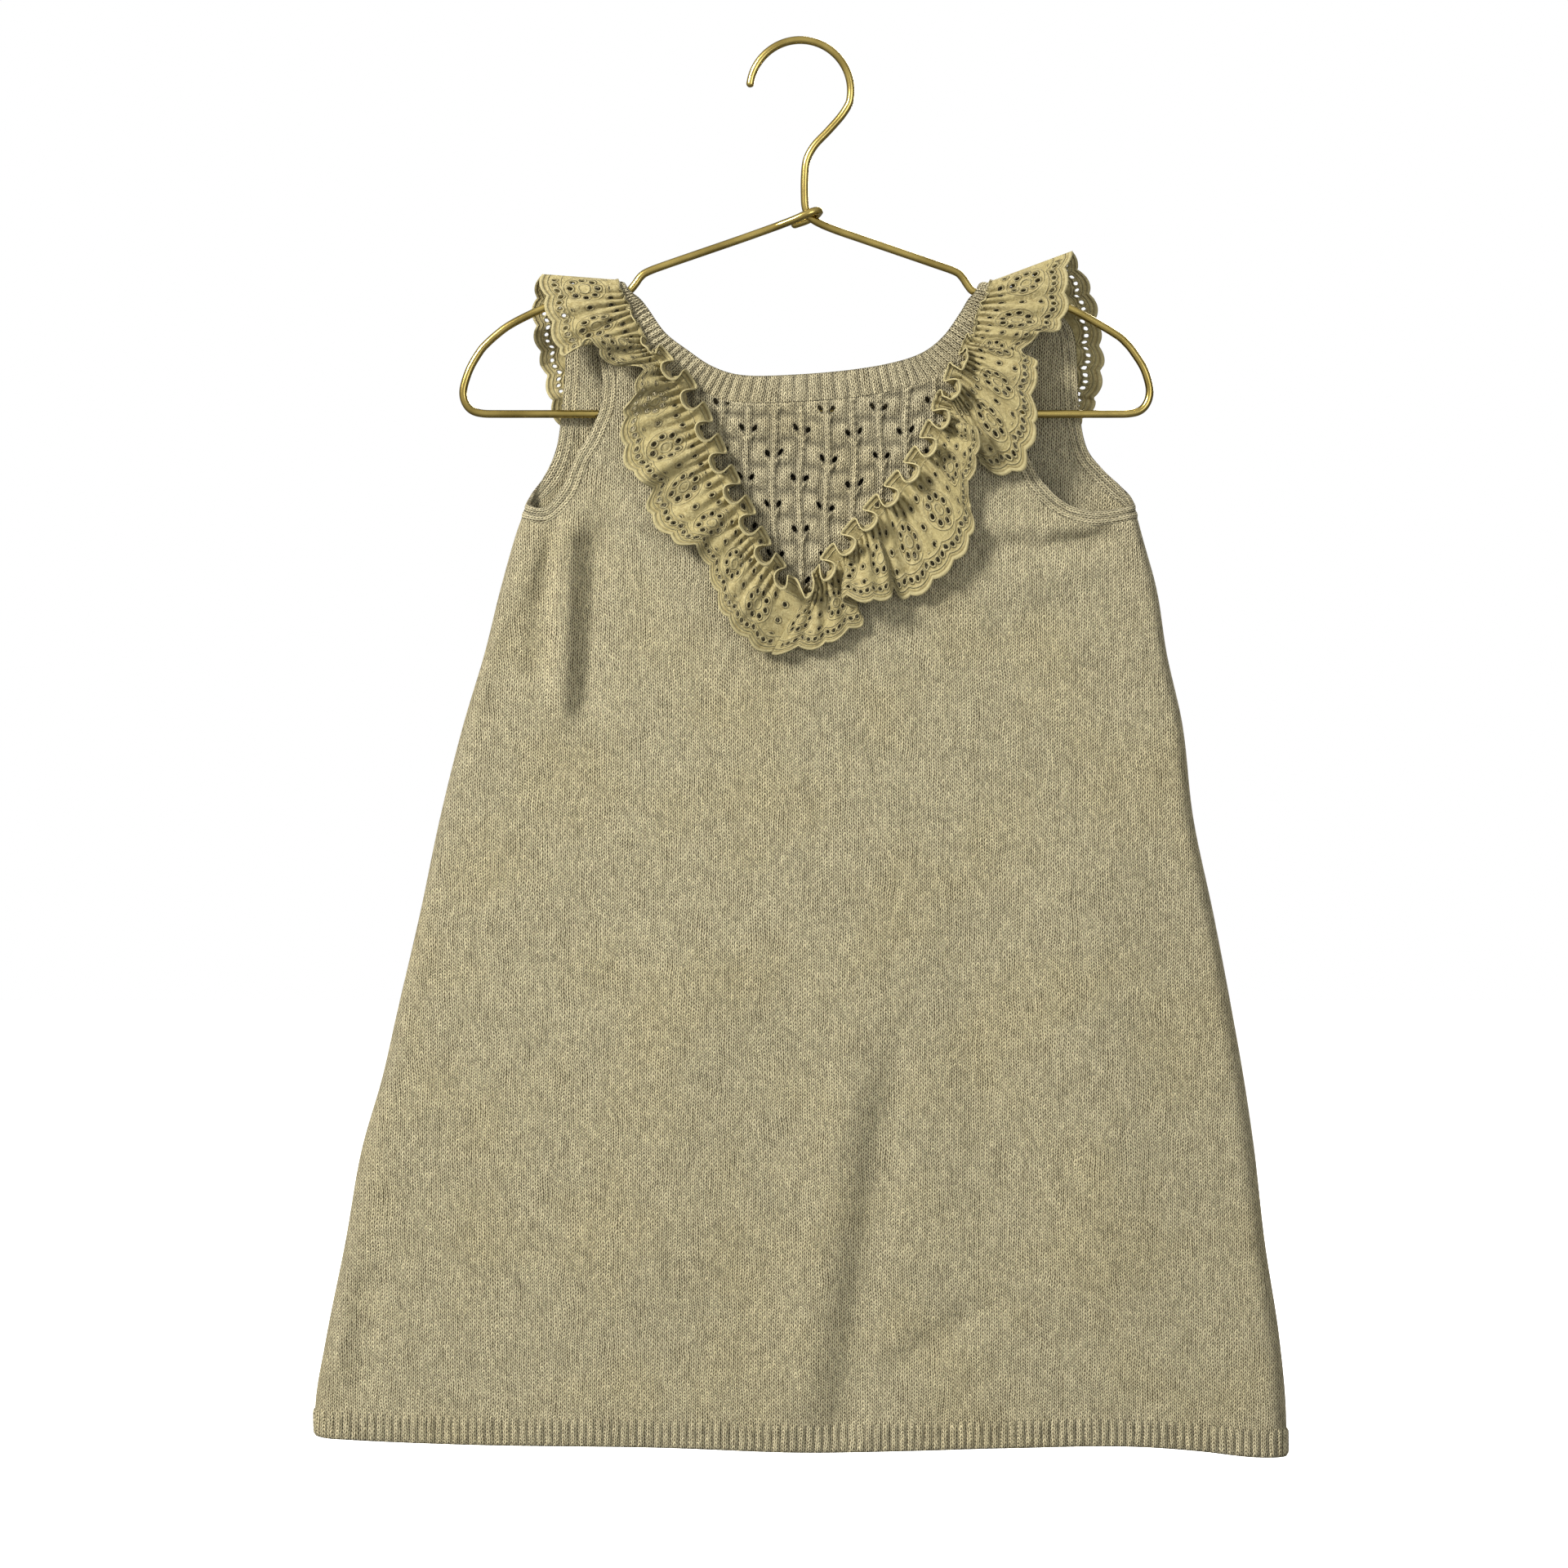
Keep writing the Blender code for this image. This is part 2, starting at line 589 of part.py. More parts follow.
def closed_wall(name, outer, inner, rows, columns, finish, gone=()):
    """Join a fine outer grid and a coarser inner one into one closed wall.

    rows and columns are the lines of the outer grid that the inner grid keeps, and gone holds the inner
    grid's cells that are left out.
    """
    mesh = bmesh.new()
    points = {}

    def point(grid_name, grid, j, i):
        if (grid_name, j, i) not in points:
            points[grid_name, j, i] = mesh.verts.new(grid[j, i] * METRES)
        return points[grid_name, j, i]

    def kept(j, i):
        return 0 <= j < len(rows) - 1 and 0 <= i < len(columns) - 1 and (j, i) not in gone

    for j in range(len(rows) - 1):
        for i in range(len(columns) - 1):
            if not kept(j, i):
                continue
            low, high = rows[j], rows[j + 1]
            near, far = columns[i], columns[i + 1]
            for b in range(low, high):
                for a in range(near, far):
                    corners = ((b, a), (b, a + 1), (b + 1, a + 1), (b + 1, a))
                    mesh.faces.new([point("outer", outer, *corner) for corner in corners])
            corners = ((j, i), (j + 1, i), (j + 1, i + 1), (j, i + 1))
            inside = [point("inner", inner, *corner) for corner in corners]
            mesh.faces.new(inside)
            if not kept(j - 1, i):
                run = [point("outer", outer, low, a) for a in range(near, far + 1)]
                rim(mesh, run, inside[0], inside[3])
            if not kept(j + 1, i):
                run = [point("outer", outer, high, a) for a in range(near, far + 1)]
                rim(mesh, run, inside[1], inside[2])
            if not kept(j, i - 1):
                run = [point("outer", outer, b, near) for b in range(low, high + 1)]
                rim(mesh, run, inside[0], inside[1])
            if not kept(j, i + 1):
                run = [point("outer", outer, b, far) for b in range(low, high + 1)]
                rim(mesh, run, inside[3], inside[2])
    bmesh.ops.recalc_face_normals(mesh, faces=mesh.faces)
    return add_object(name, mesh, finish)


def add_object(name, mesh, finish):
    """Turn a bmesh into a named, smoothly shaded object of the dress's collection."""
    data = bpy.data.meshes.new(name)
    mesh.to_mesh(data)
    mesh.free()
    data.materials.append(finish)
    data.shade_smooth()
    data.set_sharp_from_angle(angle=math.radians(50))
    thing = bpy.data.objects.new(name, data)
    bpy.data.collections["knit_dress"].objects.link(thing)
    return thing


def stay_on_side(points, face):
    """Keep a wall on its own side of the seam plane between front and back."""
    points[..., 1] = face * np.maximum(face * points[..., 1], SEAM_GAP / 2)
    return points


def cloth_wall(name, face, places, thickness, finish, rows=None, columns=None, rise=0.0, gone=()):
    """A wall of cloth on the dress's surface, raised outside by rise and plain inside."""
    rows = list(range(places.shape[0])) if rows is None else rows
    columns = list(range(places.shape[1])) if columns is None else columns
    base = on_cloth(face, places)
    normal = cloth_normal(face, places)
    outer = base + normal * np.broadcast_to(rise, places.shape[:2])[..., None]
    inner = (base - normal * thickness)[np.ix_(rows, columns)]
    outer = stay_on_side(outer, face)
    inner = stay_on_side(inner, face)
    return closed_wall(name, outer, inner, rows, columns, finish, gone)


def panel_places(left, mid_left, mid_right, right, counts, fold_parts):
    """Grid of a panel: three stretches across, with the first and last starting round the side's fold."""
    outer_count, middle_count = counts
    inside = np.linspace(0, 1, outer_count - FOLD_COLUMNS + 1)[1:]
    fold = np.linspace(0, 1, FOLD_COLUMNS + 1)
    parts = np.concatenate([fold_parts[:, None] * fold, fold_parts[:, None] + (1 - fold_parts[:, None]) * inside], 1)
    left_part = between(left, mid_left, parts)
    middle_part = between(mid_left, mid_right, np.linspace(0, 1, middle_count + 1))
    right_part = between(right, mid_right, parts)[:, ::-1]
    return np.concatenate([left_part, middle_part[:, 1:], right_part[:, 1:]], axis=1)


def follow_hem(places, rows_below):
    """Bend a panel's lowest rows so that the first one runs along the top of the hem band."""
    level = np.broadcast_to(places[0, :, 1], places.shape[:2])
    target = hem_height(places[..., 0]) + HEM_DEPTH + HEM_SEAM
    fade = np.clip(1 - np.arange(places.shape[0]) / rows_below, 0, 1) ** 2
    places[..., 1] += (target - level) * fade[:, None]
    return places


def dip_under_arm(places, first, columns, depth=7.0, within=8.0):
    """Let the rows that start along the low part of an armhole drop away from it before they run across."""
    for j in range(first, first + 7):
        drop = depth * (1 - ease((j - first) / 7))
        for row, last in ((places[j, :columns + 1], -1), (places[j, ::-1][:columns + 1], -1)):
            reach = np.abs(row[:, 0] - row[0, 0])
            row[:, 1] -= drop * (1 - np.exp(-reach / within)) * (1 - reach / reach[last]) ** 2
    return places


def skirt_side(side, rows):
    """Flat places of a side seam from the hem band up to the underarm."""
    hem_end = -213.0 if side == "left" else 213.0
    bottom = float(hem_height(hem_end)) + HEM_DEPTH + HEM_SEAM
    return side_place(np.linspace(bottom, UNDERARM_SEAM, rows + 1), side)


def fold_share(edge, inner, rows, skirt_rows):
    """Part of each row's first stretch that lies round the side's fold; it widens past the underarm."""
    length = np.linalg.norm(inner - edge, axis=-1)
    radius = smooth(edge[:, 1], column(SIDES, "z"), column(SIDES, "fold_radius"))
    tight = radius * math.pi / 2 / length
    spread = FOLD_COLUMNS / rows
    return tight + (spread - tight) * ease((np.arange(len(edge)) - skirt_rows - 1) / 5)


def yoke_sides():
    """Both sides of the V with the neck seams above them."""
    neck = neck_points("seam")
    left = yoke_side(YOKE_SEAM_LEFT, len(YOKE_SEAM_LEFT), neck[YOKE_FIRST + 2::-1])
    right = yoke_side(YOKE_SEAM_RIGHT, len(YOKE_SEAM_RIGHT), neck[YOKE_LAST + 2:])
    return left, right


def make_front_body(finish):
    """Front panel: skirt, two armholes, two straps and the V cut out for the lace yoke."""
    _, armhole_left = armhole_lines(ARMHOLE_FRONT_LEFT, ARMHOLE_TOPS_LEFT, "left")
    _, armhole_right = armhole_lines(ARMHOLE_FRONT_RIGHT, ARMHOLE_TOPS_RIGHT, "right")
    inner_left, inner_right = yoke_sides()
    steps = np.linspace(0, 1, SKIRT_ROWS + 1)[:, None]
    hem_left = np.array([-16.0, float(hem_height(-16.0)) + HEM_DEPTH])
    hem_right = np.array([0.0, float(hem_height(0.0)) + HEM_DEPTH])
    guide_left = hem_left + (inner_left[0] - hem_left) * steps
    guide_right = hem_right + (inner_right[0] - hem_right) * steps
    left = np.concatenate([skirt_side("left", SKIRT_ROWS), armhole_left[1:]])
    right = np.concatenate([skirt_side("right", SKIRT_ROWS), armhole_right[1:]])
    mid_left = np.concatenate([guide_left, inner_left[1:]])
    mid_right = np.concatenate([guide_right, inner_right[1:]])
    share = fold_share(left, mid_left, 14, SKIRT_ROWS)
    places = panel_places(left, mid_left, mid_right, right, (14, 1), share)
    places = follow_hem(places, 10)
    places = dip_under_arm(places, SKIRT_ROWS, 14)
    settle_on_arm(places[-CROWN_ROWS - 1:])
    top = SKIRT_ROWS + UPPER_ROWS + CROWN_ROWS
    rows = list(range(0, SKIRT_ROWS - 2, 2)) + [SKIRT_ROWS - 1]
    rows = rows + list(range(SKIRT_ROWS, top + 1))
    columns = [0, 1, 2, 3, 4, 5, 6, 7, 8, 9, 11, 14, 15, 16, 17, 18, 19, 20, 22, 24, 26, 27, 28, 29]
    open_from = rows.index(SKIRT_ROWS)
    gone = {(j, columns.index(14)) for j in range(open_from, len(rows) - 1)}
    cloth_wall("front_body", FRONT, places, KNIT, finish, rows, columns, 0.0, gone)


def make_back_body(finish):
    """Back panel: skirt, wide straps and the neck's cut-out."""
    _, armhole_left = armhole_lines(ARMHOLE_BACK_LEFT, ARMHOLE_TOPS_LEFT, "left")
    _, armhole_right = armhole_lines(ARMHOLE_BACK_RIGHT, ARMHOLE_TOPS_RIGHT, "right")
    neck = neck_points("seam")
    low_left = 7
    low_right = 9
    join = 5
    stops = np.array([0, 0.5, 1, 1.5, 2, 3, 4, 5, 6])
    upper_left = strap_line(neck[low_left::-1], stops)
    upper_right = strap_line(neck[low_right:], stops)
    full_rows = BACK_SKIRT_ROWS + join
    steps = np.linspace(0, 1, full_rows + 1)[:, None]
    hem_left = np.array([-46.0, float(hem_height(-46.0)) + HEM_DEPTH])
    hem_right = np.array([46.0, float(hem_height(46.0)) + HEM_DEPTH])
    left = np.concatenate([skirt_side("left", BACK_SKIRT_ROWS), armhole_left[1:]])
    right = np.concatenate([skirt_side("right", BACK_SKIRT_ROWS), armhole_right[1:]])
    mid_left = np.concatenate([hem_left + (upper_left[0] - hem_left) * steps, upper_left[1:]])
    mid_right = np.concatenate([hem_right + (upper_right[0] - hem_right) * steps, upper_right[1:]])
    share = fold_share(left, mid_left, 8, BACK_SKIRT_ROWS)
    places = panel_places(left, mid_left, mid_right, right, (8, 6), share)
    places = follow_hem(places, 8)
    bottom = neck_curve_between("seam", low_left, low_right, 6)
    fade = np.clip(1 - np.abs(np.arange(full_rows + 1) - full_rows) / 6, 0, 1) ** 2
    sag = bottom[:, 1] - np.interp(bottom[:, 0], bottom[[0, -1], 0], bottom[[0, -1], 1])
    places[:full_rows + 1, 8:15, 1] += sag * fade[:, None]
    settle_on_arm(places[-CROWN_ROWS - 1:])
    rows = list(range(0, BACK_SKIRT_ROWS, 2)) + list(range(BACK_SKIRT_ROWS, places.shape[0]))
    columns = [0, 1, 2, 3, 4, 5, 6, 8, 11, 14, 16, 17, 19, 20, 21, 22]
    open_from = rows.index(full_rows)
    hollow = (columns.index(8), columns.index(11))
    gone = {(j, i) for j in range(open_from, len(rows) - 1) for i in hollow}
    cloth_wall("back_body", BACK, places, KNIT, finish, rows, columns, 0.0, gone)


def neck_curve_between(edge_or_seam, first, last, cells):
    """A stretch of the neck band's edge or seam between two of its points."""
    return along(neck_points(edge_or_seam), np.linspace(first, last, cells + 1))


def neck_seam_knots(face):
    """Where the panels' corners lie along the neck seam, counted in its points."""
    crown = np.linspace(0, 1, CROWN_ROWS + 1)
    last = len(NECK) + 3
    if face == FRONT:
        knots = [crown, [2, 3], np.linspace(YOKE_FIRST + 2, YOKE_LAST + 2, 81), [13, 14]]
    else:
        knots = [crown, [2, 3, 4, 5, 5.5, 6, 6.5], np.linspace(7, 9, 7), [9.5, 10, 10.5, 11, 12, 13, 14]]
    return np.concatenate(knots + [last - crown[::-1]])


def make_yoke(finish):
    """V-shaped insert of lace knit: leaves in half-drop columns are raised over a plain inside."""
    across = 40
    up = 2 * YOKE_ROWS
    half_rows = np.linspace(0, YOKE_ROWS, up + 1)
    sides = []
    for side, inset in zip(yoke_sides(), (YOKE_INSET, -YOKE_INSET)):
        rows = [np.interp(half_rows, np.arange(YOKE_ROWS + 1), side[:YOKE_ROWS + 1, k]) for k in range(2)]
        rows[0] = rows[0] + inset * (1 + 4 * (half_rows / YOKE_ROWS) ** 40)
        sides.append(np.stack(rows, axis=-1))
    places = between(sides[0], sides[1], np.linspace(0, 1, across + 1))
    neck = neck_curve_between("seam", YOKE_FIRST + 2, YOKE_LAST + 2, 8 * across)
    part = np.linspace(0, 1, up + 1)[:, None]
    level = neck[0] + (neck[-1] - neck[0]) * np.linspace(0, 1, across + 1)[:, None]
    sag = np.interp(level[:, 0], neck[:, 0], neck[:, 1]) - level[:, 1]
    places[..., 1] += sag * part**1.2
    places[-1, :, 1] = np.interp(places[-1, :, 0], neck[:, 0], neck[:, 1])
    places[..., 1] += SEAM_GAP * (1 - part)
    places[-1, :, 1] -= 2.8 * SEAM_GAP
    places[-2] = (places[-3] + places[-1]) / 2
    rise = leaf_rise(places[..., 0], places[..., 1])
    rise[0] = rise[-1] = 0
    rise[:, 0] = rise[:, -1] = 0
    rows = list(range(0, up + 1, 2))
    columns = list(range(0, across + 1, 4))
    cloth_wall("front_yoke", FRONT, places, KNIT, finish, rows, columns, rise)


def leaf_rise(across, up):
    """Height of the lace's relief: leaves where two slanting waves both peak, and a rib up each column."""
    slant = across / LEAF_COLUMN / 2
    climb = up / LEAF_REPEAT
    leaf = (np.cos(math.pi * (slant + climb)) * np.cos(math.pi * (slant - climb))) ** 2
    rib = np.cos(math.pi * across / LEAF_COLUMN) ** 6
    return LEAF_RISE * np.maximum(leaf, 0.45 * rib)


def make_hem(face, name, finish):
    """Ribbed hem band: every other column of points stands out."""
    cells = 2 * HEM_RIBS
    ends = side_place(-616.0, "left")[0], side_place(-616.0, "right")[0]
    across = np.linspace(ends[0], ends[1], cells + 1)
    lower = np.stack([across, hem_height(across)], axis=-1)
    places = np.stack([lower, lower + [0, HEM_DEPTH]])
    places[:, 0, 0] = side_place(places[:, 0, 1], "left")[:, 0]
    places[:, -1, 0] = side_place(places[:, -1, 1], "right")[:, 0]
    rise = HEM_RIB_RISE * (np.arange(cells + 1) % 2)
    fold = [0, 3, 6, 9]
    columns = fold + list(range(15, cells - 12, 6)) + [cells - k for k in reversed(fold)]
    cloth_wall(name, face, places, KNIT, finish, None, columns, rise)


def make_neck(face, name, finish):
    """Ribbed neck band from shoulder to shoulder, its ribs running from the edge to the seam."""
    cells = 2 * NECK_RIBS
    edge = neck_points("edge")
    seam = neck_points("seam")
    last = len(edge) - 1
    crown = 6
    stops = np.concatenate([
        np.linspace(0, 1, crown + 1),
        np.linspace(1, last - 1, cells - 2 * crown + 1)[1:],
        np.linspace(last - 1, last, crown + 1)[1:],
    ])
    edge = along(edge, stops)
    knots = neck_seam_knots(face)
    corners = along(seam, knots)
    seam = np.stack([np.interp(stops, knots, corners[:, k]) for k in range(2)], axis=-1)
    width = np.linalg.norm(seam - edge, axis=-1)[:, None]
    gap = 2.2 * SEAM_GAP if face == FRONT else 3 * SEAM_GAP
    places = np.stack([edge + (seam - edge) * (1 - gap / width), edge])
    settle_on_arm(places[:, crown::-1].swapaxes(0, 1))
    settle_on_arm(places[:, -crown - 1:].swapaxes(0, 1))
    rise = NECK_RIB_RISE * (np.arange(cells + 1) % 2)
    columns = [0, 2, 4, 6] + list(range(10, cells - 6, 4)) + [cells - 6, cells - 4, cells - 2, cells]
    cloth_wall(name, face, places, KNIT, finish, None, columns, rise)


def make_armhole_band(face, name, rows, tops, side, finish):
    """Narrow band round half an armhole, with two raised wales."""
    edge, seam = armhole_lines(rows, tops, side)
    width = np.linalg.norm(seam - edge, axis=-1)[:, None]
    seam = edge + (seam - edge) * (1 - 2.4 * SEAM_GAP / width)
    places = between(edge, seam, np.linspace(0, 1, 5))
    settle_on_arm(places[-CROWN_ROWS - 1:])
    rise = np.array([0, BAND_RIB_RISE, 0, BAND_RIB_RISE, 0])
    cloth_wall(name, face, places, KNIT, finish, None, [0, 2, 4], rise)


def grid_normal(points, passes=3):
    """Unit normals of a grid of points, evened out along the rows so that thick folds stay apart."""
    normal = np.cross(np.gradient(points, axis=1), np.gradient(points, axis=0))
    for _ in range(passes):
        normal = normal / np.linalg.norm(normal, axis=-1, keepdims=True)
        padded = np.concatenate([normal[:, :1], normal, normal[:, -1:]], axis=1)
        normal = 2 * normal + padded[:, 2:] + padded[:, :-2]
    return normal / np.linalg.norm(normal, axis=-1, keepdims=True)


def lengths_along(points):
    """Share of a curve's length that lies before each of its points."""
    steps = np.linalg.norm(np.diff(points, axis=0), axis=-1)
    reach = np.concatenate([[0], np.cumsum(steps)])
    return reach / reach[-1]


def seam_curve(face, points, top, top_first, shares):
    """The flounce's seam on the cloth at shares of its length, moved clear of the cloth."""
    points = over_arm([], top)[::-1] + list(points) if top_first else over_arm(points, top)
    fine = along(points, np.linspace(0, len(points) - 1, 400))
    reach = lengths_along(fine)
    places = np.stack([np.interp(shares, reach, fine[:, k]) for k in range(2)], axis=-1)
    return places, on_cloth(face, places) + cloth_normal(face, places) * FLOUNCE_CLEARANCE


def heading_edge(face, seam, places, shares, waves, top_first):
    """Free edge of the small frill above the seam: it leans in and out as it goes along."""
    step = np.gradient(places, axis=0)
    step = step / np.linalg.norm(step, axis=-1, keepdims=True)
    from_top = shares if top_first else 1 - shares
    inward = np.stack([-step[:, 1], step[:, 0]], axis=-1)
    upright = ease((from_top - 0.85) / 0.15)[:, None]
    inward = inward * (1 - upright) + np.array([0.0, 1.0]) * upright
    inward = inward / np.linalg.norm(inward, axis=-1, keepdims=True)
    height = 1.5 + (HEADING - 1.5) * ease((from_top - 0.12) / 0.2)
    lean = math.radians(52) + math.radians(24) * np.sin(2 * math.pi * waves * shares)
    lean = lean * ease(from_top / 0.1)
    sway = 1.6 * np.cos(2 * math.pi * waves * shares) * ease(from_top / 0.2) * ease((1 - from_top) / 0.1)
    move_x = height * np.cos(lean) * inward[:, 0] + sway * step[:, 0]
    move_z = height * np.cos(lean) * inward[:, 1] + sway * step[:, 1]
    move_y = face * height * np.sin(lean)
    return seam + np.stack([move_x, move_y, move_z], axis=-1)


def make_flounce(face, name, seam_points, top, top_first, turns, cells, waves, finish, regular=0):
    """Gathered strip: ruled from its seam to a scalloped edge that turns at each row of the table.

    There are that many cells between two turns, and more where the strip bends over the hanger's arm.
    """
    rows = [(t.along, t.x, t.z, t.out) for t in turns]
    spans = len(rows) - 1
    bend = np.linspace(0, 1, CREST_CELLS + 1)
    stops = np.concatenate([bend, np.linspace(1, spans, (spans - 1) * cells + 1)[1:]])
    stops = stops if top_first else (spans - stops)[::-1]
    shares_x_z_out = along(rows, stops)
    shares = np.clip(shares_x_z_out[:, 0], 0, 1)
    places, seam = seam_curve(face, seam_points, top, top_first, shares)
    edge = np.stack([shares_x_z_out[:, 1], face * shares_x_z_out[:, 3], shares_x_z_out[:, 2]], axis=-1)
    if regular:
        fade = ease(shares / 0.12) * ease((1 - shares) / 0.12)
        step = np.gradient(edge, axis=0)
        step = step / np.linalg.norm(step, axis=-1, keepdims=True)
        swing = 2 * math.pi * regular * shares
        edge[:, 1] += face * BACK_WAVE_OUT * np.sin(swing) * fade
        edge += step * (BACK_WAVE_SWAY * np.sin(2 * swing) * fade)[:, None]
    head = heading_edge(face, seam, places, shares, waves, top_first)
    parts = np.array([0.0, 0.33, 0.67, 1.0])
    lower = seam + (edge - seam) * parts[:, None, None]
    lower[..., 1] += face * 1.8 * np.sin(math.pi * parts)[:, None] * ease(np.minimum(shares, 1 - shares) / 0.1)
    sheet = np.concatenate([head[None], lower])
    normal = grid_normal(sheet)
    outer = stay_on_side(sheet + normal * LACE / 2, face)
    inner = stay_on_side(sheet - normal * LACE / 2, face)
    every_row = list(range(sheet.shape[0]))
    every_column = list(range(sheet.shape[1]))
    closed_wall(name, outer, inner, every_row, every_column, finish)


def make_wire(name, points, finish):
    """Round wire along a row of points, with flat ends."""
    curve = bpy.data.curves.new(name, "CURVE")
    curve.dimensions = "3D"
    curve.bevel_depth = WIRE_RADIUS * METRES
    curve.bevel_resolution = 2
    curve.use_fill_caps = True
    spline = curve.splines.new("POLY")
    spline.points.add(len(points) - 1)
    for spot, place in zip(spline.points, points):
        spot.co = (place[0] * METRES, place[1] * METRES, place[2] * METRES, 1.0)
    curve.materials.append(finish)
    wire = bpy.data.objects.new(name, curve)
    bpy.data.collections["knit_dress"].objects.link(wire)


def make_hanger(finish):
    """Wire hanger: the frame with its wrapped end, and the hook with its stem."""
    flat = [(p.x, 0.0, p.z) for p in RIGHT_ARM + LEFT_ARM[::-1]]
    frame = flat + [tuple(p) for p in WIRE_WRAP]
    make_wire("hanger_frame", frame, finish)
    arc = []
    for degrees in np.linspace(HOOK_TIP_DEGREES, -6, 16):
        turn = math.radians(degrees)
        middle = WIRE_RADIUS - HOOK_RADIUS
        arc.append((HOOK_RADIUS * math.cos(turn), 0.0, middle + HOOK_RADIUS * math.sin(turn)))
    make_wire("hanger_hook", arc + [(p.x, 0.0, p.z) for p in HOOK_BEND], finish)


def finish_of(name, colour, roughness, metallic=0.0):
    """A plain Principled material."""
    finish = bpy.data.materials.new(name)
    finish.use_nodes = True
    shader = finish.node_tree.nodes["Principled BSDF"]
    shader.inputs["Base Color"].default_value = (*colour, 1.0)
    shader.inputs["Roughness"].default_value = roughness
    shader.inputs["Metallic"].default_value = metallic
    return finish


def main():
    """Build the dress and its hanger."""
    for thing in list(bpy.data.objects):
        bpy.data.objects.remove(thing, do_unlink=True)
    collection = bpy.data.collections.new("knit_dress")
    bpy.context.scene.collection.children.link(collection)
    knit = (0.52, 0.46, 0.31)
    make_front_body(finish_of("front_knit", knit, 0.9))
    make_back_body(finish_of("back_knit", knit, 0.9))
    make_yoke(finish_of("lace_knit", (0.54, 0.48, 0.33), 0.9))
    make_hem(FRONT, "hem_rib_front", finish_of("hem_front", knit, 0.9))
    make_hem(BACK, "hem_rib_back", finish_of("hem_back", knit, 0.9))
    make_neck(FRONT, "neck_rib_front", finish_of("neck_front", knit, 0.9))
    make_neck(BACK, "neck_rib_back", finish_of("neck_back", knit, 0.9))
    bands = (
        (FRONT, "armhole_band_front_left", ARMHOLE_FRONT_LEFT, ARMHOLE_TOPS_LEFT, "left"),
        (FRONT, "armhole_band_front_right", ARMHOLE_FRONT_RIGHT, ARMHOLE_TOPS_RIGHT, "right"),
        (BACK, "armhole_band_back_left", ARMHOLE_BACK_LEFT, ARMHOLE_TOPS_LEFT, "left"),
        (BACK, "armhole_band_back_right", ARMHOLE_BACK_RIGHT, ARMHOLE_TOPS_RIGHT, "right"),
    )
    for face, name, rows, tops, side in bands:
        make_armhole_band(face, name, rows, tops, side, finish_of(name + "_knit", knit, 0.9))
    eyelet = (0.60, 0.54, 0.38)
    make_flounce(FRONT, "flounce_front_left", FLOUNCE_SEAM_LEFT, FLOUNCE_TOP_LEFT, True, TURNS_FRONT_LEFT,
                 2, HEADING_WAVES_LEFT, finish_of("eyelet_front_left", eyelet, 0.8))
    make_flounce(FRONT, "flounce_front_right", FLOUNCE_SEAM_RIGHT, FLOUNCE_TOP_RIGHT, False, TURNS_FRONT_RIGHT,
                 2, HEADING_WAVES_RIGHT, finish_of("eyelet_front_right", eyelet, 0.8))
    make_flounce(BACK, "flounce_back_left", BACK_SEAM_LEFT, FLOUNCE_TOP_LEFT, True, TURNS_BACK_LEFT,
                 3, BACK_WAVES, finish_of("eyelet_back_left", eyelet, 0.8), BACK_WAVES)
    make_flounce(BACK, "flounce_back_right", BACK_SEAM_RIGHT, FLOUNCE_TOP_RIGHT, False, TURNS_BACK_RIGHT,
                 3, BACK_WAVES, finish_of("eyelet_back_right", eyelet, 0.8), BACK_WAVES)
    make_hanger(finish_of("brass_wire", (0.62, 0.48, 0.20), 0.32, 1.0))


main()
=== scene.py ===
"""A toddler's knit dress with gathered eyelet flounces, hung flat on a bent brass wire hanger.

Lengths are in millimetres until a mesh is made. X runs across the dress, Y from the front (negative) to the
back and Z up. The origin is the inside top of the hanger's hook.

Cloth is drawn in flat places (across, up). Between the sides they are simply x and z. Past a side's flat part
the place goes on round the side's fold, and past a strap's flat part it goes on over the hanger's arm.
"""

import logging
import math
from dataclasses import dataclass
from enum import Enum
from functools import partialmethod
from typing import NamedTuple

import bpy
import numpy as np
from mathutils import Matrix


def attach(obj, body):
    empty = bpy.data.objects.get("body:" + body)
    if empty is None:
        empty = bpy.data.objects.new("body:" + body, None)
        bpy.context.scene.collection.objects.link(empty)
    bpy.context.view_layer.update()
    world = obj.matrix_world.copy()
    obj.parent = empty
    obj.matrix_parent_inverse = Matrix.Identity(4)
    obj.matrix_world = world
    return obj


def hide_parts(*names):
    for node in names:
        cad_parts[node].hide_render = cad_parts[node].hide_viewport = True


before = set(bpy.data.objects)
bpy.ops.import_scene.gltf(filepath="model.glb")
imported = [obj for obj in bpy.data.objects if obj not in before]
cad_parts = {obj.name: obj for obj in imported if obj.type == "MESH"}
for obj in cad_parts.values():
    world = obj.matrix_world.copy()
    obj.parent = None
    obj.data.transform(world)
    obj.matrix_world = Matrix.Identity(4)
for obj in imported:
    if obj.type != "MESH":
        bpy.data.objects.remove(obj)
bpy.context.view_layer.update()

Array = np.ndarray
Socket = bpy.types.NodeSocket
log = logging.getLogger("knit_dress")

METRES = 0.001  # metres in a millimetre
SEAM_GAP = 0.04  # between two pieces of cloth that meet
BACK_CLOTH = (487.5, 64.0)  # where the back's pattern starts, so that it isn't the front's mirrored
ARCH = 4.35  # outside radius of a strap where it bends over the hanger's arm
FULL_TURN = math.pi / 2 + 0.1  # a quarter turn, and a little more for the slopes at its end
HEM_DEPTH = 12.0
HEADING = 9.0  # height of the frill above a flounce's seam


class Face(Enum):
    """Which half of the dress a piece belongs to; the value is the sign of its Y."""

    FRONT = -1
    BACK = 1


class Flank(Enum):
    """A side of the dress, seen from the front."""

    LEFT = "left"
    RIGHT = "right"


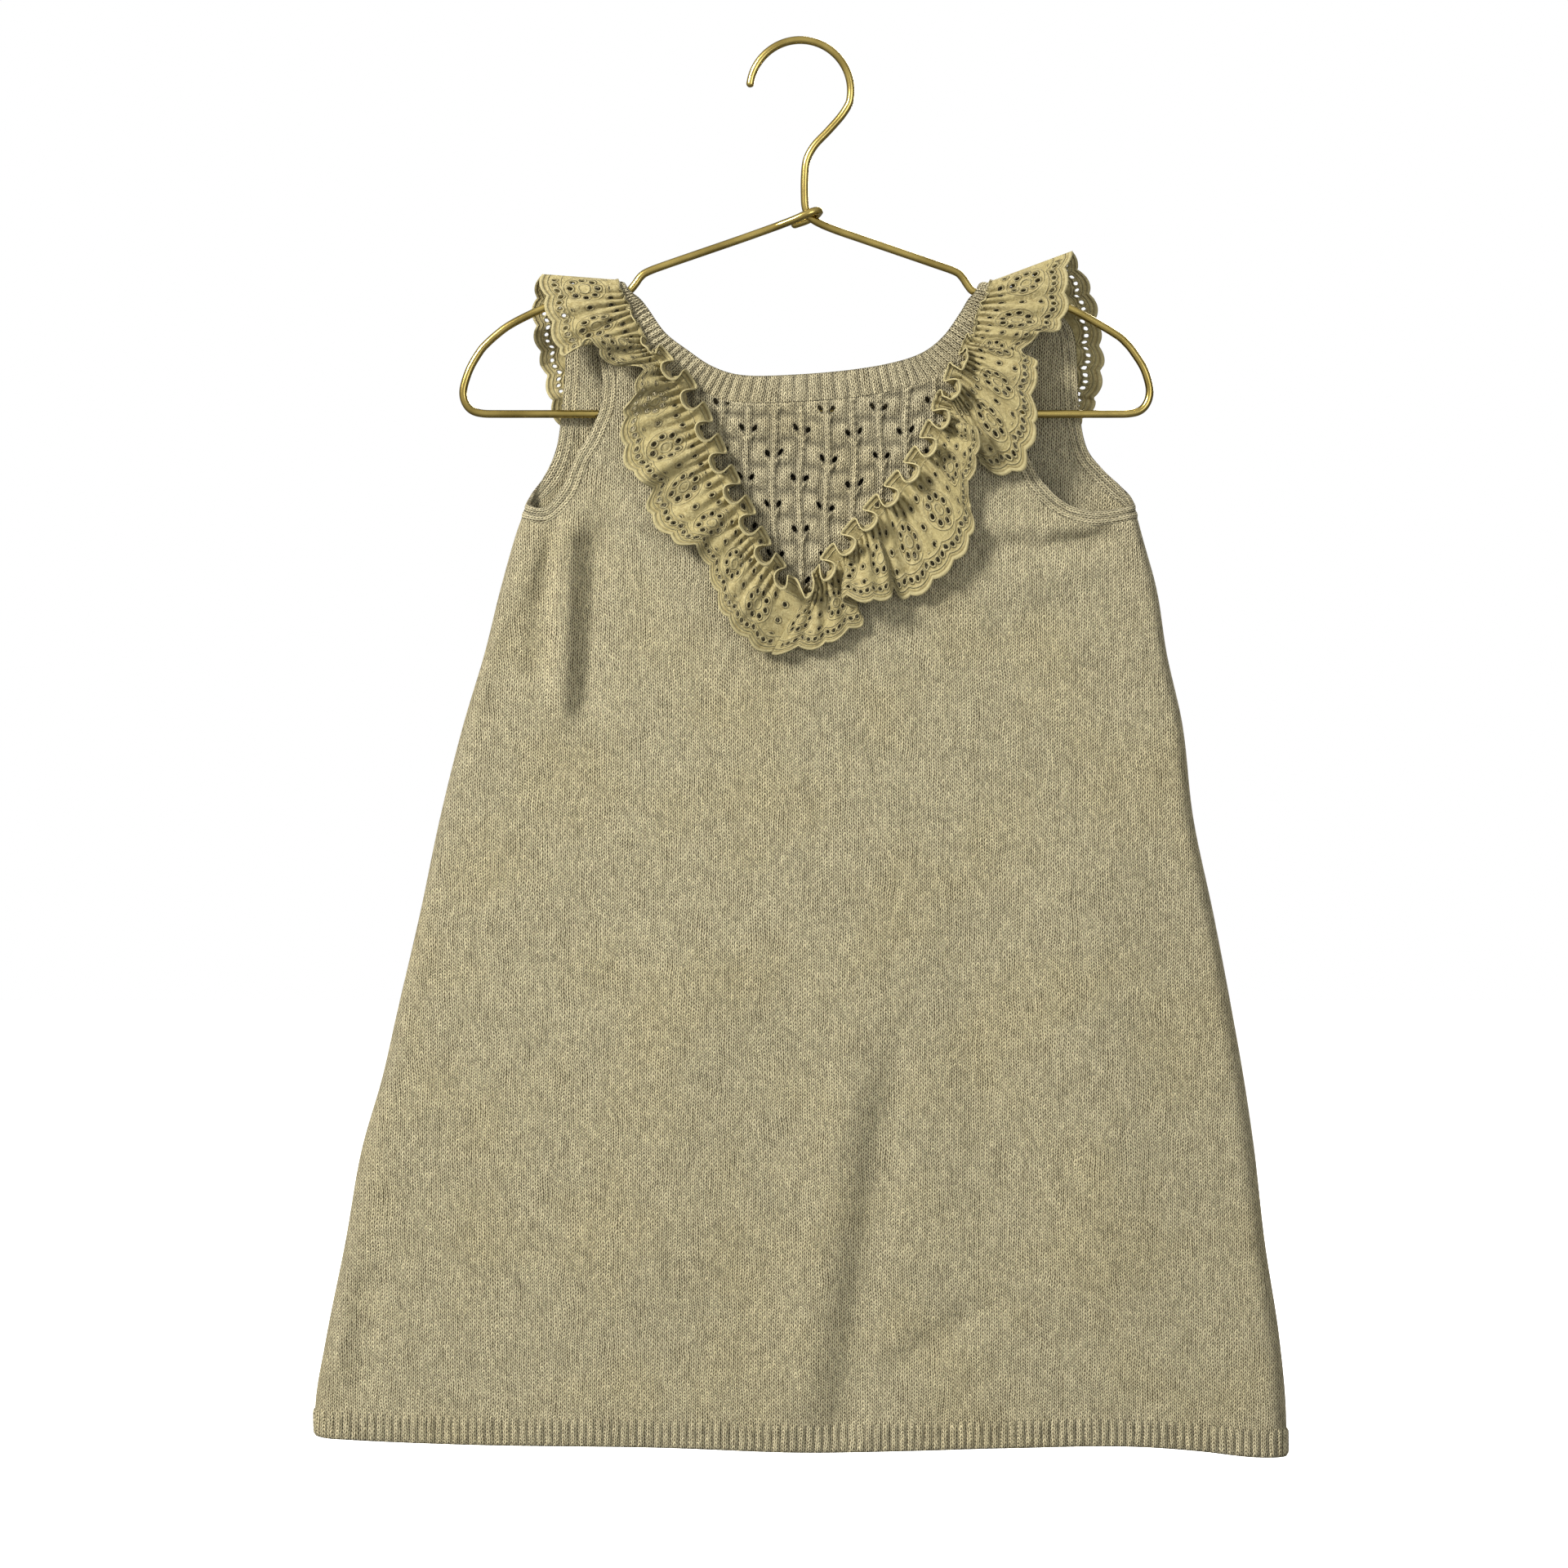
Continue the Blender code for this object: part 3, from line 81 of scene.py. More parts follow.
class Line(Enum):
    """One of the two long edges of a band."""

    EDGE = "edge"
    SEAM = "seam"


class Side(NamedTuple):
    """Silhouette at one height: where the sides are, how round they fold and how full the cloth is."""

    z: float
    left: float
    right: float
    fold_radius: float
    fullness: float


class Place(NamedTuple):
    """A flat place on the cloth, or a point of the wire."""

    x: float
    z: float


class WrapPoint(NamedTuple):
    """A point of the wire where it winds round the hook's stem."""

    x: float
    y: float
    z: float


class Crossing(NamedTuple):
    """Where an edge crosses the hanger's arm: at the front or back of the wire, and over its top."""

    spring_x: float
    ridge_x: float


class Band(NamedTuple):
    """A row across a band of cloth, from its free edge to the seam that joins it to a panel."""

    edge_x: float
    edge_z: float
    seam_x: float
    seam_z: float


class Fold(NamedTuple):
    """A soft ridge between two places, or a trough where the height is negative."""

    x1: float
    z1: float
    x2: float
    z2: float
    width: float
    height: float


class Turn(NamedTuple):
    """Where a flounce's edge turns: how far along its seam, where it lies, and how far out it stands."""

    along: float
    x: float
    z: float
    out: float


def rows_of(kind: type, *rows: tuple) -> tuple:
    """Make a table: each row of numbers becomes a named row of that kind."""
    return tuple(kind(*row) for row in rows)


SIDES = rows_of(
    Side,
    (-622, -213.2, 214.4, 10.0, 5.0),
    (-600, -213.8, 214.0, 10.0, 5.0),
    (-571, -209.2, 211.3, 9.8, 5.0),
    (-528, -200.6, 204.8, 9.4, 5.0),
    (-485, -192.8, 199.8, 9.0, 5.0),
    (-456, -184.4, 195.5, 8.7, 4.9),
    (-427, -177.8, 190.4, 8.4, 4.7),
    (-384, -167.8, 182.2, 7.9, 4.4),
    (-341, -158.8, 173.2, 7.3, 4.0),
    (-298, -148.0, 168.1, 6.7, 3.6),
    (-269, -139.3, 161.6, 6.3, 3.3),
    (-240, -132.1, 157.0, 5.9, 3.0),
    (-215, -125.0, 150.2, 5.4, 2.7),
    (-200, -119.8, 146.5, 5.0, 2.4),
    (-160, -119.8, 146.5, ARCH, 1.2),
    (-118, -119.8, 146.5, ARCH, 0.0),
    (-90, -119.8, 146.5, ARCH, 0.0),
)
HEM_LINE = rows_of(
    Place,
    (-214, -613.0), (-190, -614.2), (-148, -615.6), (-61, -616.7), (4, -618.8), (47, -618.1),
    (90, -617.0), (155, -617.0), (176, -618.8), (198, -621.4), (214, -621.9),
)
LEFT_ARM = rows_of(
    Place,
    (-13.0, -81.3), (-28.8, -86.9), (-57.6, -96.8), (-67.0, -100.3), (-70.4, -102.6), (-73.2, -106.4),
    (-76.0, -109.1), (-82.0, -110.4), (-90.0, -111.2), (-98.0, -111.9), (-105.0, -113.4), (-113.0, -116.4),
    (-122.8, -121.0), (-129.2, -124.6), (-133.9, -128.2), (-137.9, -131.8), (-141.1, -135.4),
    (-145.4, -142.6),
    (-148.0, -149.8), (-148.6, -154.5), (-147.4, -158.6), (-144.6, -161.6), (-140.0, -162.9),
)
RIGHT_ARM = rows_of(
    Place,
    (14.4, -81.6), (28.8, -86.6), (57.6, -96.5), (68.0, -100.2), (71.2, -102.6), (73.8, -106.4),
    (76.4, -109.1), (82.5, -110.4), (91.0, -111.2), (99.0, -111.8), (107.0, -112.8), (118.4, -116.4),
    (129.0, -122.0), (139.7, -128.4), (143.6, -131.8), (146.6, -135.4), (151.2, -142.6), (153.6, -149.8),
    (153.9, -154.5), (152.6, -158.6), (149.8, -161.6), (145.0, -162.9),
)
BAR = rows_of(
    Place,
    (137.0, -163.1), (118.0, -163.1), (80.0, -163.1), (28.0, -163.1), (-26.0, -163.1), (-78.0, -163.1),
    (-114.0, -163.1), (-132.5, -163.1),
)
HOOK_BEND = rows_of(
    Place,
    (21.4, -26.4), (18.0, -31.8), (12.2, -38.4), (6.2, -44.8), (2.9, -51.0), (2.0, -58.0),
    (1.9, -66.0), (2.3, -72.0), (4.0, -75.8), (7.0, -78.3),
)
WIRE_WRAP = rows_of(
    WrapPoint,
    (-7.2, -1.2, -79.3), (-2.2, -3.2, -77.6), (2.4, -4.2, -75.6), (5.6, -3.7, -74.3), (8.0, -1.6, -73.6),
    (8.4, 0.8, -73.7), (7.2, 3.0, -74.9), (4.8, 4.1, -76.3), (1.6, 4.2, -77.7), (-2.4, 4.2, -79.0),
)
NECK = rows_of(
    Band,
    (-70.6, -112.6, -82.4, -117.4),
    (-67.0, -117.0, -78.2, -124.5),
    (-59.5, -127.5, -70.5, -134.5),
    (-50.0, -135.0, -59.0, -143.5),
    (-38.0, -142.8, -44.5, -152.8),
    (-24.0, -146.5, -27.5, -158.2),
    (0.0, -146.0, 0.0, -158.0),
    (24.0, -143.8, 26.0, -155.8),
    (42.0, -140.5, 45.5, -152.0),
    (54.0, -136.2, 62.0, -145.5),
    (63.0, -129.0, 73.5, -135.5),
    (70.0, -119.2, 80.0, -126.0),
    (73.6, -113.2, 84.2, -118.0),
)
YOKE_FIRST = 2  # the neck rows between which the lace yoke hangs
YOKE_LAST = 10
NECK_TOPS = {
    Line.EDGE: (Crossing(-75.4, -78.0), Crossing(77.0, 79.6)),
    Line.SEAM: (Crossing(-85.4, -87.0), Crossing(86.6, 88.4)),
}
UNDERARM = {Line.EDGE: -202.0, Line.SEAM: -209.0}
ARMHOLE_TOPS = {
    Flank.LEFT: {Line.EDGE: Crossing(-101.8, -103.0), Line.SEAM: Crossing(-95.3, -96.5)},
    Flank.RIGHT: {Line.EDGE: Crossing(111.6, 113.0), Line.SEAM: Crossing(105.2, 106.6)},
}
ARMHOLES = {
    (Face.FRONT, Flank.LEFT): rows_of(
        Band,
        (-113.0, -204.6, -111.5, -211.2),
        (-105.5, -197.0, -99.8, -201.2),
        (-99.0, -182.5, -93.0, -185.5),
        (-91.5, -169.5, -85.6, -172.0),
        (-87.0, -155.0, -80.6, -155.8),
        (-89.0, -139.0, -82.9, -137.5),
        (-96.0, -124.5, -90.2, -122.0),
    ),
    (Face.FRONT, Flank.RIGHT): rows_of(
        Band,
        (144.2, -204.0, 144.0, -210.4),
        (138.5, -205.2, 138.0, -211.8),
        (127.0, -206.0, 126.3, -212.6),
        (114.5, -201.0, 110.8, -206.6),
        (103.5, -188.5, 97.9, -192.2),
        (98.0, -172.0, 91.5, -173.0),
        (97.5, -155.0, 91.0, -154.0),
        (101.5, -138.0, 95.4, -135.8),
        (108.0, -124.0, 102.3, -121.0),
    ),
    (Face.BACK, Flank.LEFT): rows_of(
        Band,
        (-114.0, -191.5, -108.6, -195.2),
        (-108.0, -178.6, -101.8, -181.0),
        (-105.5, -163.0, -99.0, -164.0),
        (-104.0, -145.0, -97.5, -145.5),
        (-103.3, -128.0, -96.8, -128.0),
    ),
    (Face.BACK, Flank.RIGHT): rows_of(
        Band,
        (141.5, -194.5, 137.4, -199.6),
        (133.0, -186.5, 128.8, -191.4),
        (126.5, -177.5, 120.8, -180.6),
        (123.5, -163.0, 117.0, -164.0),
        (122.3, -145.0, 115.8, -145.5),
        (120.6, -127.0, 114.2, -127.8),
    ),
}
YOKE_SEAM = {
    Flank.LEFT: rows_of(
        Place, (-5.0, -243.0), (-18.0, -228.0), (-27.0, -211.0), (-36.0, -193.0), (-44.5, -173.5),
        (-53.0, -156.5), (-61.5, -144.5),
    ),
    Flank.RIGHT: rows_of(
        Place, (5.0, -243.0), (16.5, -230.5), (26.0, -219.5), (43.0, -200.5), (54.0, -187.0), (62.0, -173.0),
        (67.5, -158.5), (71.0, -146.5),
    ),
}
FOLDS = {
    Face.FRONT: rows_of(
        Fold,
        (-103, -201, -104, -306, 6, 3.4),
        (-89, -206, -97, -304, 6, -3.0),
        (-109, -207, -118, -288, 5, -2.6),
        (-114, -212, -127, -246, 5, 2.2),
        (-129, -256, -137, -300, 5, -1.8),
        (136, -210, 104, -213, 6, 1.7),
        (104, -213, 74, -214, 6, 1.1),
        (137, -218, 104, -222, 4, -1.7),
        (104, -222, 72, -221, 4, -1.0),
        (136, -230, 84, -240, 8, 1.0),
        (120, -246, 78, -268, 9, -0.8),
        (44, -425, 20, -604, 8, -2.7),
        (24, -440, 0, -594, 12, 2.3),
        (32, -590, 82, -552, 6, -1.5),
        (-192, -535, -194, -590, 7, -2.2),
        (-172, -446, -186, -449, 6, -1.6),
        (-44, -380, -70, -560, 26, 1.6),
        (120, -330, 138, -560, 24, 1.8),
        (70, -360, 92, -540, 20, -1.2),
    ),
    Face.BACK: rows_of(
        Fold,
        (-92, -215, -100, -310, 11, 2.8),
        (-70, -220, -76, -290, 9, -2.0),
        (112, -222, 122, -300, 12, 2.4),
        (88, -230, 92, -292, 9, -1.8),
        (30, -420, 52, -606, 18, 2.4),
        (2, -440, 8, -596, 16, -1.8),
        (-104, -440, -128, -600, 20, 2.2),
        (150, -450, 160, -585, 12, -2.0),
    ),
}
FLOUNCE_TOPS = {Flank.LEFT: Crossing(-79.8, -81.5), Flank.RIGHT: Crossing(83.2, 85.0)}
FLOUNCE_SEAMS = {
    (Face.FRONT, Flank.LEFT): rows_of(
        Place, (-78.0, -113.5), (-73.8, -121.5), (-70.0, -131.0), (-62.5, -142.0), (-53.0, -155.5),
        (-44.5, -173.5), (-36.0, -193.0), (-27.0, -211.0), (-18.0, -228.5), (-8.0, -241.0), (0.0, -246.0),
    ),
    (Face.FRONT, Flank.RIGHT): rows_of(
        Place, (0.0, -246.0), (8.0, -241.5), (16.5, -231.0), (26.0, -219.5), (43.0, -200.5), (54.0, -187.0),
        (62.0, -173.0), (67.5, -158.5), (71.5, -146.0), (74.0, -135.0), (77.5, -124.0), (81.0, -114.5),
    ),
    (Face.BACK, Flank.LEFT): rows_of(
        Place, (-80.0, -115.0), (-76.5, -130.0), (-70.0, -147.0), (-60.0, -165.0), (-45.0, -184.0),
        (-24.0, -203.0), (-0.4, -212.0),
    ),
    (Face.BACK, Flank.RIGHT): rows_of(
        Place, (0.4, -212.0), (26.0, -203.0), (48.0, -184.0), (64.0, -165.0), (74.5, -147.0), (80.5, -130.0),
        (83.5, -115.0),
    ),
}
TURNS = {
    (Face.FRONT, Flank.LEFT): rows_of(
        Turn,
        (0.000, -115.0, -101.5, 0.2), (0.050, -112.5, -113.0, 7.0), (0.090, -109.0, -127.0, 9.5),
        (0.120, -105.0, -138.0, 11.5), (0.155, -98.5, -135.5, 15.0), (0.185, -92.0, -131.5, 17.0),
        (0.210, -87.5, -138.5, 15.0), (0.230, -81.0, -143.0, 11.5), (0.255, -75.0, -142.5, 10.5),
        (0.285, -69.5, -144.0, 13.0), (0.310, -71.5, -151.0, 16.5), (0.335, -74.0, -158.5, 15.5),
        (0.360, -77.5, -164.0, 13.0), (0.410, -78.0, -176.0, 11.5), (0.470, -75.5, -188.0, 13.0),
        (0.510, -69.0, -193.5, 16.5), (0.540, -65.5, -198.0, 13.0), (0.575, -67.0, -206.0, 11.5),
        (0.620, -62.0, -214.0, 13.5), (0.665, -54.0, -220.5, 16.0), (0.705, -46.5, -222.5, 16.5),
        (0.740, -42.5, -227.0, 12.5), (0.795, -38.0, -239.0, 13.5), (0.860, -33.0, -253.0, 17.0),
        (0.930, -21.5, -265.0, 15.6), (1.000, -11.6, -270.2, 13.1),
    ),
    (Face.FRONT, Flank.RIGHT): rows_of(
        Turn,
        (0.000, -13.2, -270.5, 14.8), (0.035, -3.6, -267.5, 14.5), (0.070, 9.6, -266.0, 14.0),
        (0.100, 18.5, -260.8, 14.5), (0.130, 27.0, -256.0, 13.0), (0.155, 25.0, -250.0, 14.4),
        (0.180, 18.5, -246.0, 17.2), (0.200, 21.5, -245.0, 20.6), (0.230, 30.5, -247.0, 21.5),
        (0.260, 39.0, -244.5, 19.0), (0.285, 41.0, -240.5, 14.0), (0.305, 45.0, -245.0, 12.5),
        (0.335, 52.5, -243.0, 14.0), (0.375, 64.0, -233.0, 15.5), (0.420, 71.5, -225.0, 15.5),
        (0.460, 75.5, -216.0, 14.5), (0.495, 75.5, -207.5, 13.0), (0.525, 73.5, -200.0, 12.5),
        (0.555, 75.0, -192.0, 14.0), (0.585, 77.5, -183.5, 17.0), (0.610, 78.0, -172.0, 19.0),
        (0.630, 76.0, -170.5, 14.5), (0.645, 77.0, -181.0, 11.0), (0.665, 84.0, -189.5, 9.5),
        (0.690, 96.5, -189.0, 11.0), (0.715, 100.0, -180.5, 13.5), (0.740, 103.5, -169.5, 14.5),
        (0.775, 102.0, -155.0, 14.5), (0.805, 104.0, -142.5, 16.0), (0.825, 98.0, -137.5, 12.0),
        (0.845, 101.0, -132.0, 10.0), (0.865, 106.0, -128.5, 13.0), (0.890, 113.5, -126.5, 11.0),
        (0.925, 117.2, -115.0, 9.0), (0.960, 117.0, -103.0, 6.5), (1.000, 119.5, -91.5, 0.2),
    ),
    (Face.BACK, Flank.LEFT): rows_of(
        Turn,
        (0.00, -115.0, -101.5, 0.2), (0.07, -118.0, -114.0, 8.0), (0.15, -117.0, -130.0, 11.5),
        (0.24, -113.0, -146.0, 13.0), (0.33, -109.0, -163.0, 13.5), (0.42, -101.0, -180.0, 13.5),
        (0.53, -87.0, -199.0, 13.5), (0.65, -69.0, -217.0, 14.0), (0.77, -49.0, -232.0, 14.0),
        (0.89, -25.0, -244.0, 14.0), (1.00, 1.2, -249.3, 13.1),
    ),
    (Face.BACK, Flank.RIGHT): rows_of(
        Turn,
        (0.00, -0.4, -249.0, 14.7), (0.11, 27.0, -243.0, 14.0), (0.23, 52.0, -230.0, 14.0),
        (0.35, 75.0, -213.5, 14.0), (0.47, 96.0, -195.0, 13.5), (0.58, 114.0, -177.0, 13.5),
        (0.67, 128.0, -162.0, 13.0), (0.76, 133.5, -147.0, 13.0), (0.85, 133.5, -130.0, 12.5),
        (0.93, 129.5, -110.0, 9.0), (1.00, 119.5, -91.5, 0.2),
    ),
}


def smooth(at: Array, xs: Array, ys: Array) -> Array:
    """Read a smooth curve through the points (xs, ys), whose slope at a point comes from its neighbours.

    Between two points the height is the cubic that has both points' heights and slopes.

    Args:
        at: Where to read it.
        xs: Rising places of the points.
        ys: Their heights.

    Returns:
        The heights at those places.
    """
    xs = np.asarray(xs, float)
    ys = np.asarray(ys, float)
    slopes = np.gradient(ys, xs)
    at = np.clip(at, xs[0], xs[-1])
    i = np.clip(np.searchsorted(xs, at, side="right") - 1, 0, len(xs) - 2)
    step = xs[i + 1] - xs[i]
    f = (at - xs[i]) / step
    rise = 3 * f**2 - 2 * f**3
    bend_in = step * (f**3 - 2 * f**2 + f) * slopes[i]
    bend_out = step * (f**3 - f**2) * slopes[i + 1]
    return ys[i] + (ys[i + 1] - ys[i]) * rise + bend_in + bend_out


def column(rows: tuple, name: str) -> Array:
    """One named column of a table."""
    return np.array([getattr(row, name) for row in rows], float)


def along(points: list, stops: Array) -> Array:
    """Places on the smooth curve through points, at stops counted in points."""
    points = np.asarray(points, float)
    index = np.arange(len(points))
    return np.stack([smooth(stops, index, points[:, k]) for k in range(points.shape[1])], axis=-1)


def band_line(rows: tuple, line: Line) -> list:
    """One long edge of a band, as places."""
    return [(getattr(row, line.value + "_x"), getattr(row, line.value + "_z")) for row in rows]


def lengths(points: Array) -> Array:
    """How far along a line of points each of them is."""
    return np.concatenate([[0], np.cumsum(np.linalg.norm(np.diff(points, axis=0), axis=-1))])


def from_nearest(value: Array, apart: float) -> Array:
    """How far a value is past the nearest whole number of repeats."""
    return value - np.round(value / apart) * apart


def ease(value: Array) -> Array:
    """0 below 0, 1 above 1 and smooth between."""
    value = np.clip(value, 0.0, 1.0)
    return value * value * (3 - 2 * value)


def between(start: Array, end: Array, parts: Array) -> Array:
    """Rule a grid from the places in start to those in end.

    Args:
        start: The first column's places.
        end: The last column's.
        parts: Where each column lies between them, 0 to 1, the same in every row or row by row.

    Returns:
        The grid, rows by columns by two or three.
    """
    parts = np.asarray(parts, float)
    if parts.ndim == 1:
        parts = np.broadcast_to(parts, (len(start), len(parts)))
    return start[:, None] + (end - start)[:, None] * parts[..., None]


def unit(vectors: Array) -> Array:
    """The vectors made one long."""
    return vectors / np.linalg.norm(vectors, axis=-1, keepdims=True)


def grid_normal(points: Array, passes: int = 3) -> Array:
    """Unit normals of a grid of points, the cross product of its two slopes, evened out along the rows.

    Args:
        points: The grid.
        passes: How often each row's normals are evened out.

    Returns:
        One normal for each point.
    """
    normal = np.cross(np.gradient(points, axis=1), np.gradient(points, axis=0))
    for _ in range(passes):
        normal = unit(normal)
        padded = np.concatenate([normal[:, :1], normal, normal[:, -1:]], axis=1)
        normal = 2 * normal + padded[:, 2:] + padded[:, :-2]
    return unit(normal)


def flat_area(places: Array, cells: Array | None = None) -> float:
    """Area in square metres of a flat grid of places, each cell being half its diagonals' cross product.

    Args:
        places: The grid.
        cells: Which cells count; all if left out.

    Returns:
        Square metres.
    """
    one = places[1:, 1:] - places[:-1, :-1]
    two = places[1:, :-1] - places[:-1, 1:]
    area = np.abs(one[..., 0] * two[..., 1] - one[..., 1] * two[..., 0]) / 2
    return float((area if cells is None else area[cells]).sum()) * METRES**2


def link(name: str, data: bpy.types.ID) -> bpy.types.Object:
    """Put a mesh, a lamp or a camera into the scene as an object."""
    item = bpy.data.objects.new(name, data)
    bpy.context.scene.collection.objects.link(item)
    return item


def make_piece(
    name: str, points: Array, faces: list, flat: Array, finish: bpy.types.Material
) -> bpy.types.Object:
    """Make a smooth piece, with its flat places as a UV map in millimetres.

    Args:
        name: The piece's name.
        points: Its points in millimetres.
        faces: Its faces, as lists of point numbers.
        flat: Each point's flat place.
        finish: Its material.

    Returns:
        The new object.
    """
    data = bpy.data.meshes.new(name)
    data.from_pydata(points * METRES, [], faces)
    spots = np.empty(len(data.loops), np.int32)
    data.loops.foreach_get("vertex_index", spots)
    layer = data.uv_layers.new(name="flat")
    layer.data.foreach_set("uv", flat[spots].astype(np.float32).ravel())
    data.shade_smooth()
    data.materials.append(finish)
    return link(name, data)


@dataclass(frozen=True)
class DressForm:
    """The outside of the hanging dress, on which every piece of cloth lies.

    Across, the cloth is flat and turns a quarter circle at each side. Upwards, it turns a quarter circle over
    the hanger's arm. Between the sides it is a little full, and its folds are added.
    """

    arch: float = ARCH
    skirt_rows: int = 140
    upper_rows: int = 78
    yoke_rows: int = 60  # of the upper rows, those beside the lace yoke
    crown_rows: int = 12  # over the hanger's arm
    strap_from: float = 69.0  # from the middle, where a strap can hang on the wire
    strap_to: float = 119.0
    half_hem: float = 213.0
    fold_scale: float = 1.5
    fold_top: float = -199.0  # the folds begin to rise below this height
    fold_top_fade: float = 18.0
    fold_side: float = 2.0  # and this far in from the sides
    fold_side_fade: float = 16.0
    fold_out: float = -580.0  # a fold that goes lower runs out over the hem

    def arm_height(self, across: Array) -> Array:
        """Height of the hanger's wire where a strap can hang on it."""
        notch = sorted(p for p in LEFT_ARM + RIGHT_ARM if self.strap_from < abs(p.x) < self.strap_to)
        return np.interp(across, column(notch, "x"), column(notch, "z"))

    def side_place(self, z: Array, flank: Flank) -> Array:
        """Flat place of the side seam at a height: the far end of the side's fold.

        Args:
            z: Heights.
            flank: The side.

        Returns:
            Flat places, (..., 2).
        """
        spread = smooth(z, column(SIDES, "z"), column(SIDES, "fold_radius")) * (math.pi / 2 - 1)
        edge = smooth(z, column(SIDES, "z"), column(SIDES, flank.value))
        across = edge - spread if flank is Flank.LEFT else edge + spread
        return np.stack([across, np.asarray(z, float)], axis=-1)

    def fold_height(self, face: Face, across: Array, up: Array) -> Array:
        """Add up the soft folds at a place: each falls off as a bell with the distance from its line.

        A fold also rises and dies out along its length, except where it runs out over the hem.

        Args:
            face: The front or the back.
            across: Flat places across.
            up: Their heights.

        Returns:
            How far the folds stand out there, before their scale.
        """
        height = np.zeros(np.shape(across))
        for fold in FOLDS[face]:
            run = fold.x2 - fold.x1
            drop = fold.z2 - fold.z1
            length = math.hypot(run, drop)
            part = ((across - fold.x1) * run + (up - fold.z1) * drop) / length**2
            inside = part if fold.z2 < self.fold_out else np.minimum(part, 1 - part)
            fade = ease((inside * length + 0.6 * fold.width) / (0.16 * length + fold.width))
            part = np.clip(part, 0.0, 1.0)
            gap = (across - fold.x1 - part * run) ** 2 + (up - fold.z1 - part * drop) ** 2
            height = height + fold.height * fade * np.exp(-gap / fold.width**2)
        return height

    def outside(self, face: Face, place: Array) -> Array:
        """Carry flat places onto the outside of the hanging dress.

        x moves on by the sine and y by the cosine of the turn round a side, z and y likewise over the arm.

        Args:
            face: The front or the back.
            place: Flat places, (..., 2).

        Returns:
            Points in millimetres, (..., 3).
        """
        across = place[..., 0]
        up = place[..., 1]
        heights = column(SIDES, "z")
        left = smooth(up, heights, column(SIDES, "left"))
        right = smooth(up, heights, column(SIDES, "right"))
        radius = smooth(up, heights, column(SIDES, "fold_radius"))
        fullness = np.maximum(smooth(up, heights, column(SIDES, "fullness")), 0.0)
        turn_left = np.clip((left + radius - across) / radius, 0, FULL_TURN)
        turn_right = np.clip((across - right + radius) / radius, 0, FULL_TURN)
        spring = self.arm_height(across)
        over = np.clip((up - spring) / self.arch, 0, FULL_TURN)
        x = np.clip(across, left + radius, right - radius) + radius * (np.sin(turn_right) - np.sin(turn_left))
        z = np.minimum(up, spring) + self.arch * np.sin(over)
        middle = (left + right) / 2
        lens = np.clip(1 - ((across - middle) / (right - middle)) ** 2, 0, 1)
        inset = np.minimum(across - left, right - across)
        fade = ease((inset - self.fold_side) / self.fold_side_fade)
        fade = fade * ease((self.fold_top - up) / self.fold_top_fade)
        folds = self.fold_scale * self.fold_height(face, across, up) * fade
        depth = radius * np.cos(turn_left + turn_right) * np.cos(over) + fullness * lens + folds
        return np.stack([x, face.value * (SEAM_GAP / 2 + depth), z], axis=-1)

    def normal(self, face: Face, place: Array, reach: float = 0.05) -> Array:
        """Direction straight out of the cloth, from the slopes of its outside."""
        ahead = self.outside(face, place + [reach, 0]) - self.outside(face, place - [reach, 0])
        above = self.outside(face, place + [0, reach]) - self.outside(face, place - [0, reach])
        return unit(np.cross(ahead, above) * -face.value)

    def over_arm(self, points: list, crossing: Crossing) -> list:
        """Carry an edge up to the hanger's arm and on to the top of the strap's bend."""
        spring = (crossing.spring_x, float(self.arm_height(crossing.spring_x)))
        ridge = (crossing.ridge_x, float(self.arm_height(crossing.ridge_x)) + self.arch * math.pi / 2)
        return list(points) + [spring, ridge]

    def settle_on_arm(self, strap: Array) -> None:
        """Set the last rows of a strap's places evenly round the hanger's arm, wherever it lies."""
        rise = np.linspace(0, self.arch * math.pi / 2, len(strap))
        strap[..., 1] = self.arm_height(strap[..., 0]) + rise[:, None]

    def strap_line(self, points: list, lower: Array) -> Array:
        """Where a strap's rows cross one of its edges: at the lower stops, then closer over the arm."""
        last = len(points) - 1
        crown = np.linspace(last - 1, last, self.crown_rows + 1)
        return along(points, np.concatenate([lower, crown[1:]]))

    def armhole_line(self, face: Face, flank: Flank, line: Line) -> Array:
        """The free edge or the seam of an armhole band, as places for every strap row.

        Args:
            face: The front or the back.
            flank: The side.
            line: Free edge or seam.

        Returns:
            One place for each strap row.
        """
        start = tuple(self.side_place(UNDERARM[line], flank))
        points = [start] + band_line(ARMHOLES[face, flank], line)
        points = self.over_arm(points, ARMHOLE_TOPS[flank][line])
        return self.strap_line(points, np.linspace(0, len(points) - 2, self.upper_rows + 1))

    def neck_points(self, line: Line) -> list:
        """The neck band's free edge or seam from one shoulder to the other."""
        left, right = NECK_TOPS[line]
        return self.over_arm([], left)[::-1] + band_line(NECK, line) + self.over_arm([], right)

    def yoke_side(self, flank: Flank) -> Array:
        """One side of the V and the neck seam above it: the yoke's places, then the strap's.

        Args:
            flank: The side.

        Returns:
            One place for each upper row.
        """
        neck = self.neck_points(Line.SEAM)
        seam = list(YOKE_SEAM[flank])
        points = seam + (neck[YOKE_FIRST + 2::-1] if flank is Flank.LEFT else neck[YOKE_LAST + 2:])
        corner = len(seam)
        beside = np.linspace(0, corner, self.yoke_rows + 1)
        above = np.linspace(corner, len(points) - 2, self.upper_rows - self.yoke_rows + 1)
        return self.strap_line(points, np.concatenate([beside, above[1:]]))

    def hem_height(self, across: Array) -> Array:
        """Height of the dress's lower edge."""
        return smooth(across, column(HEM_LINE, "x"), column(HEM_LINE, "z"))

